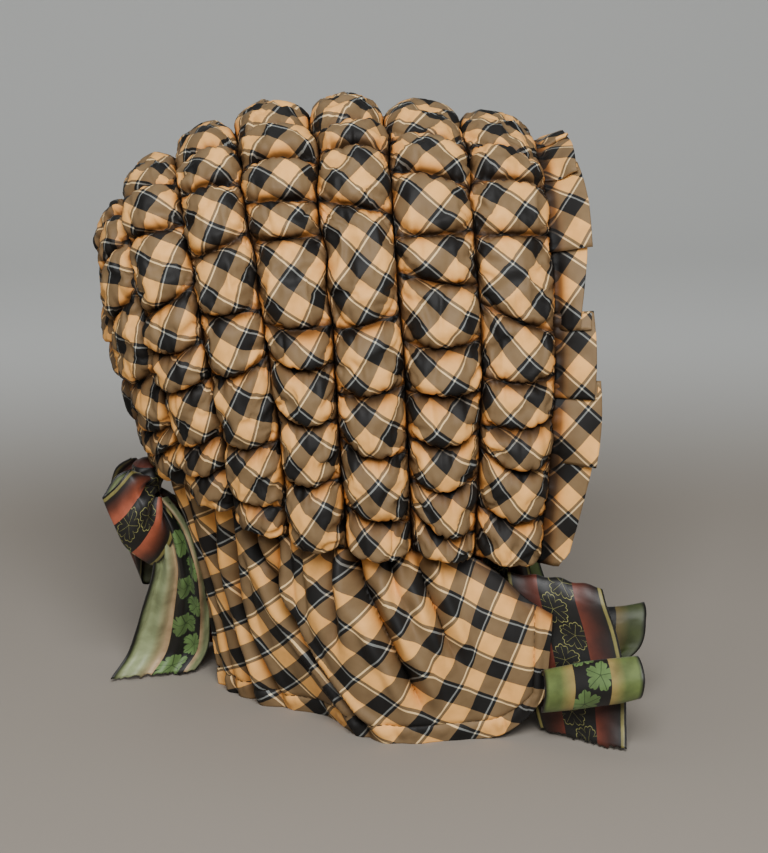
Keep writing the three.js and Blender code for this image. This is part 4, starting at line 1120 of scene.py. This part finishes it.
class HOOD_OT_stage(bpy.types.Operator):
    """Camera, soft studio light, and a pale floor that runs up into a backdrop"""
    bl_idname = "hood.stage"
    bl_label = "Stage"

    def execute(self, context):
        p = context.scene.hood_stage
        mat, nt, sh = new_material("stage_paper", 0.9)
        tc = nt.nodes.new("ShaderNodeTexCoord")
        sep = nt.nodes.new("ShaderNodeSeparateXYZ")
        nt.links.new(tc.outputs["Object"], sep.inputs[0])
        floor, wall = tuple(p.floor_colour), tuple(p.wall_colour)
        far_floor = [c * 0.98 for c in floor]
        col = ramp(nt, sep.outputs[0], [(0.1, floor), (0.26, far_floor), (0.77, wall), (1.0, wall)], "EASE")
        nt.links.new(col, sh.inputs["Base Color"])
        # profile of the paper in metres from under the camera, flat to 1 m, round a bend and up
        t = np.linspace(0, math.pi / 2, 25)
        px = np.concatenate([[-2.5], 1.0 + 0.9 * np.sin(t), [1.9]])
        pz = np.concatenate([[0.0], 0.9 - 0.9 * np.cos(t), [3.5]])
        X, Y = np.meshgrid(px, (-3.0, 3.0), indexing="ij")
        verts = np.stack([X, Y, np.stack([pz, pz], 1)], -1).reshape(-1, 3) * 1000 - PLACE
        mesh_object("stage_paper", verts, grid_quads(len(px), 2), [mat])

        middle = Vector((0.0115, 0.0085, 0.140))
        b, e = p.camera_turn, p.camera_rise
        back = Vector((-math.cos(b) * math.cos(e), math.sin(b) * math.cos(e), math.sin(e)))
        right = (-back).cross(Vector((0, 0, 1))).normalized()
        up = right.cross(-back).normalized()
        cam = bpy.data.objects.new("camera", bpy.data.cameras.new("camera"))
        cam.data.lens, cam.data.sensor_width = p.lens, 36
        cam.data.clip_start, cam.data.clip_end = 0.05, 50
        # the hood stands left of the picture's middle and above it
        look_from(context, cam, middle + back * p.camera_distance, middle + right * 0.0163 - up * 0.0097)
        context.scene.camera = cam

        for name, at, to, size, watts in LIGHTS:
            lamp = bpy.data.lights.new(name, "AREA")
            lamp.shape, lamp.size, lamp.energy = "SQUARE", size, watts
            look_from(context, bpy.data.objects.new(name, lamp), at, to)
        world = bpy.data.worlds.new("stage_world")
        world.use_nodes = True
        world.node_tree.nodes["Background"].inputs[0].default_value = (0.9, 0.93, 1.0, 1)
        world.node_tree.nodes["Background"].inputs[1].default_value = 0.15
        context.scene.world = world
        return {"FINISHED"}


class HOOD_PT_panel(bpy.types.Panel):
    bl_idname = "HOOD_PT_panel"
    bl_label = "Quilted Hood"
    bl_space_type = "VIEW_3D"
    bl_region_type = "UI"
    bl_category = "Quilted Hood"

    def draw(self, context):
        for group, ops in GROUPS:
            box = self.layout.box()
            settings = getattr(context.scene, group)
            for name in type(settings).__annotations__:
                box.prop(settings, name)
            for op in ops:
                box.operator(op)


GROUPS = (
    ("hood_silk", ("hood.tubes", "hood.back_panel", "hood.ruffle", "hood.curtain")),
    ("hood_ribbon", ("hood.ribbons",)),
    ("hood_stage", ("hood.stage",)),
)
CLASSES = (HoodSilkSettings, HoodRibbonSettings, HoodStageSettings, HOOD_OT_tubes, HOOD_OT_back_panel,
           HOOD_OT_ruffle, HOOD_OT_curtain, HOOD_OT_ribbons, HOOD_OT_stage, HOOD_PT_panel)


def register():
    for c in CLASSES:
        bpy.utils.register_class(c)
    for name, kind in (("hood_silk", HoodSilkSettings), ("hood_ribbon", HoodRibbonSettings),
                       ("hood_stage", HoodStageSettings)):
        setattr(bpy.types.Scene, name, bpy.props.PointerProperty(type=kind))


def unregister():
    for name, _ in GROUPS:
        delattr(bpy.types.Scene, name)
    for c in reversed(CLASSES):
        bpy.utils.unregister_class(c)


def main():
    register()
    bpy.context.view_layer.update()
    bpy.ops.hood.tubes()
    bpy.ops.hood.back_panel()
    bpy.ops.hood.ruffle()
    bpy.ops.hood.curtain()
    bpy.ops.hood.ribbons()
    bpy.ops.hood.stage()


if __name__ == "__main__":
    main()
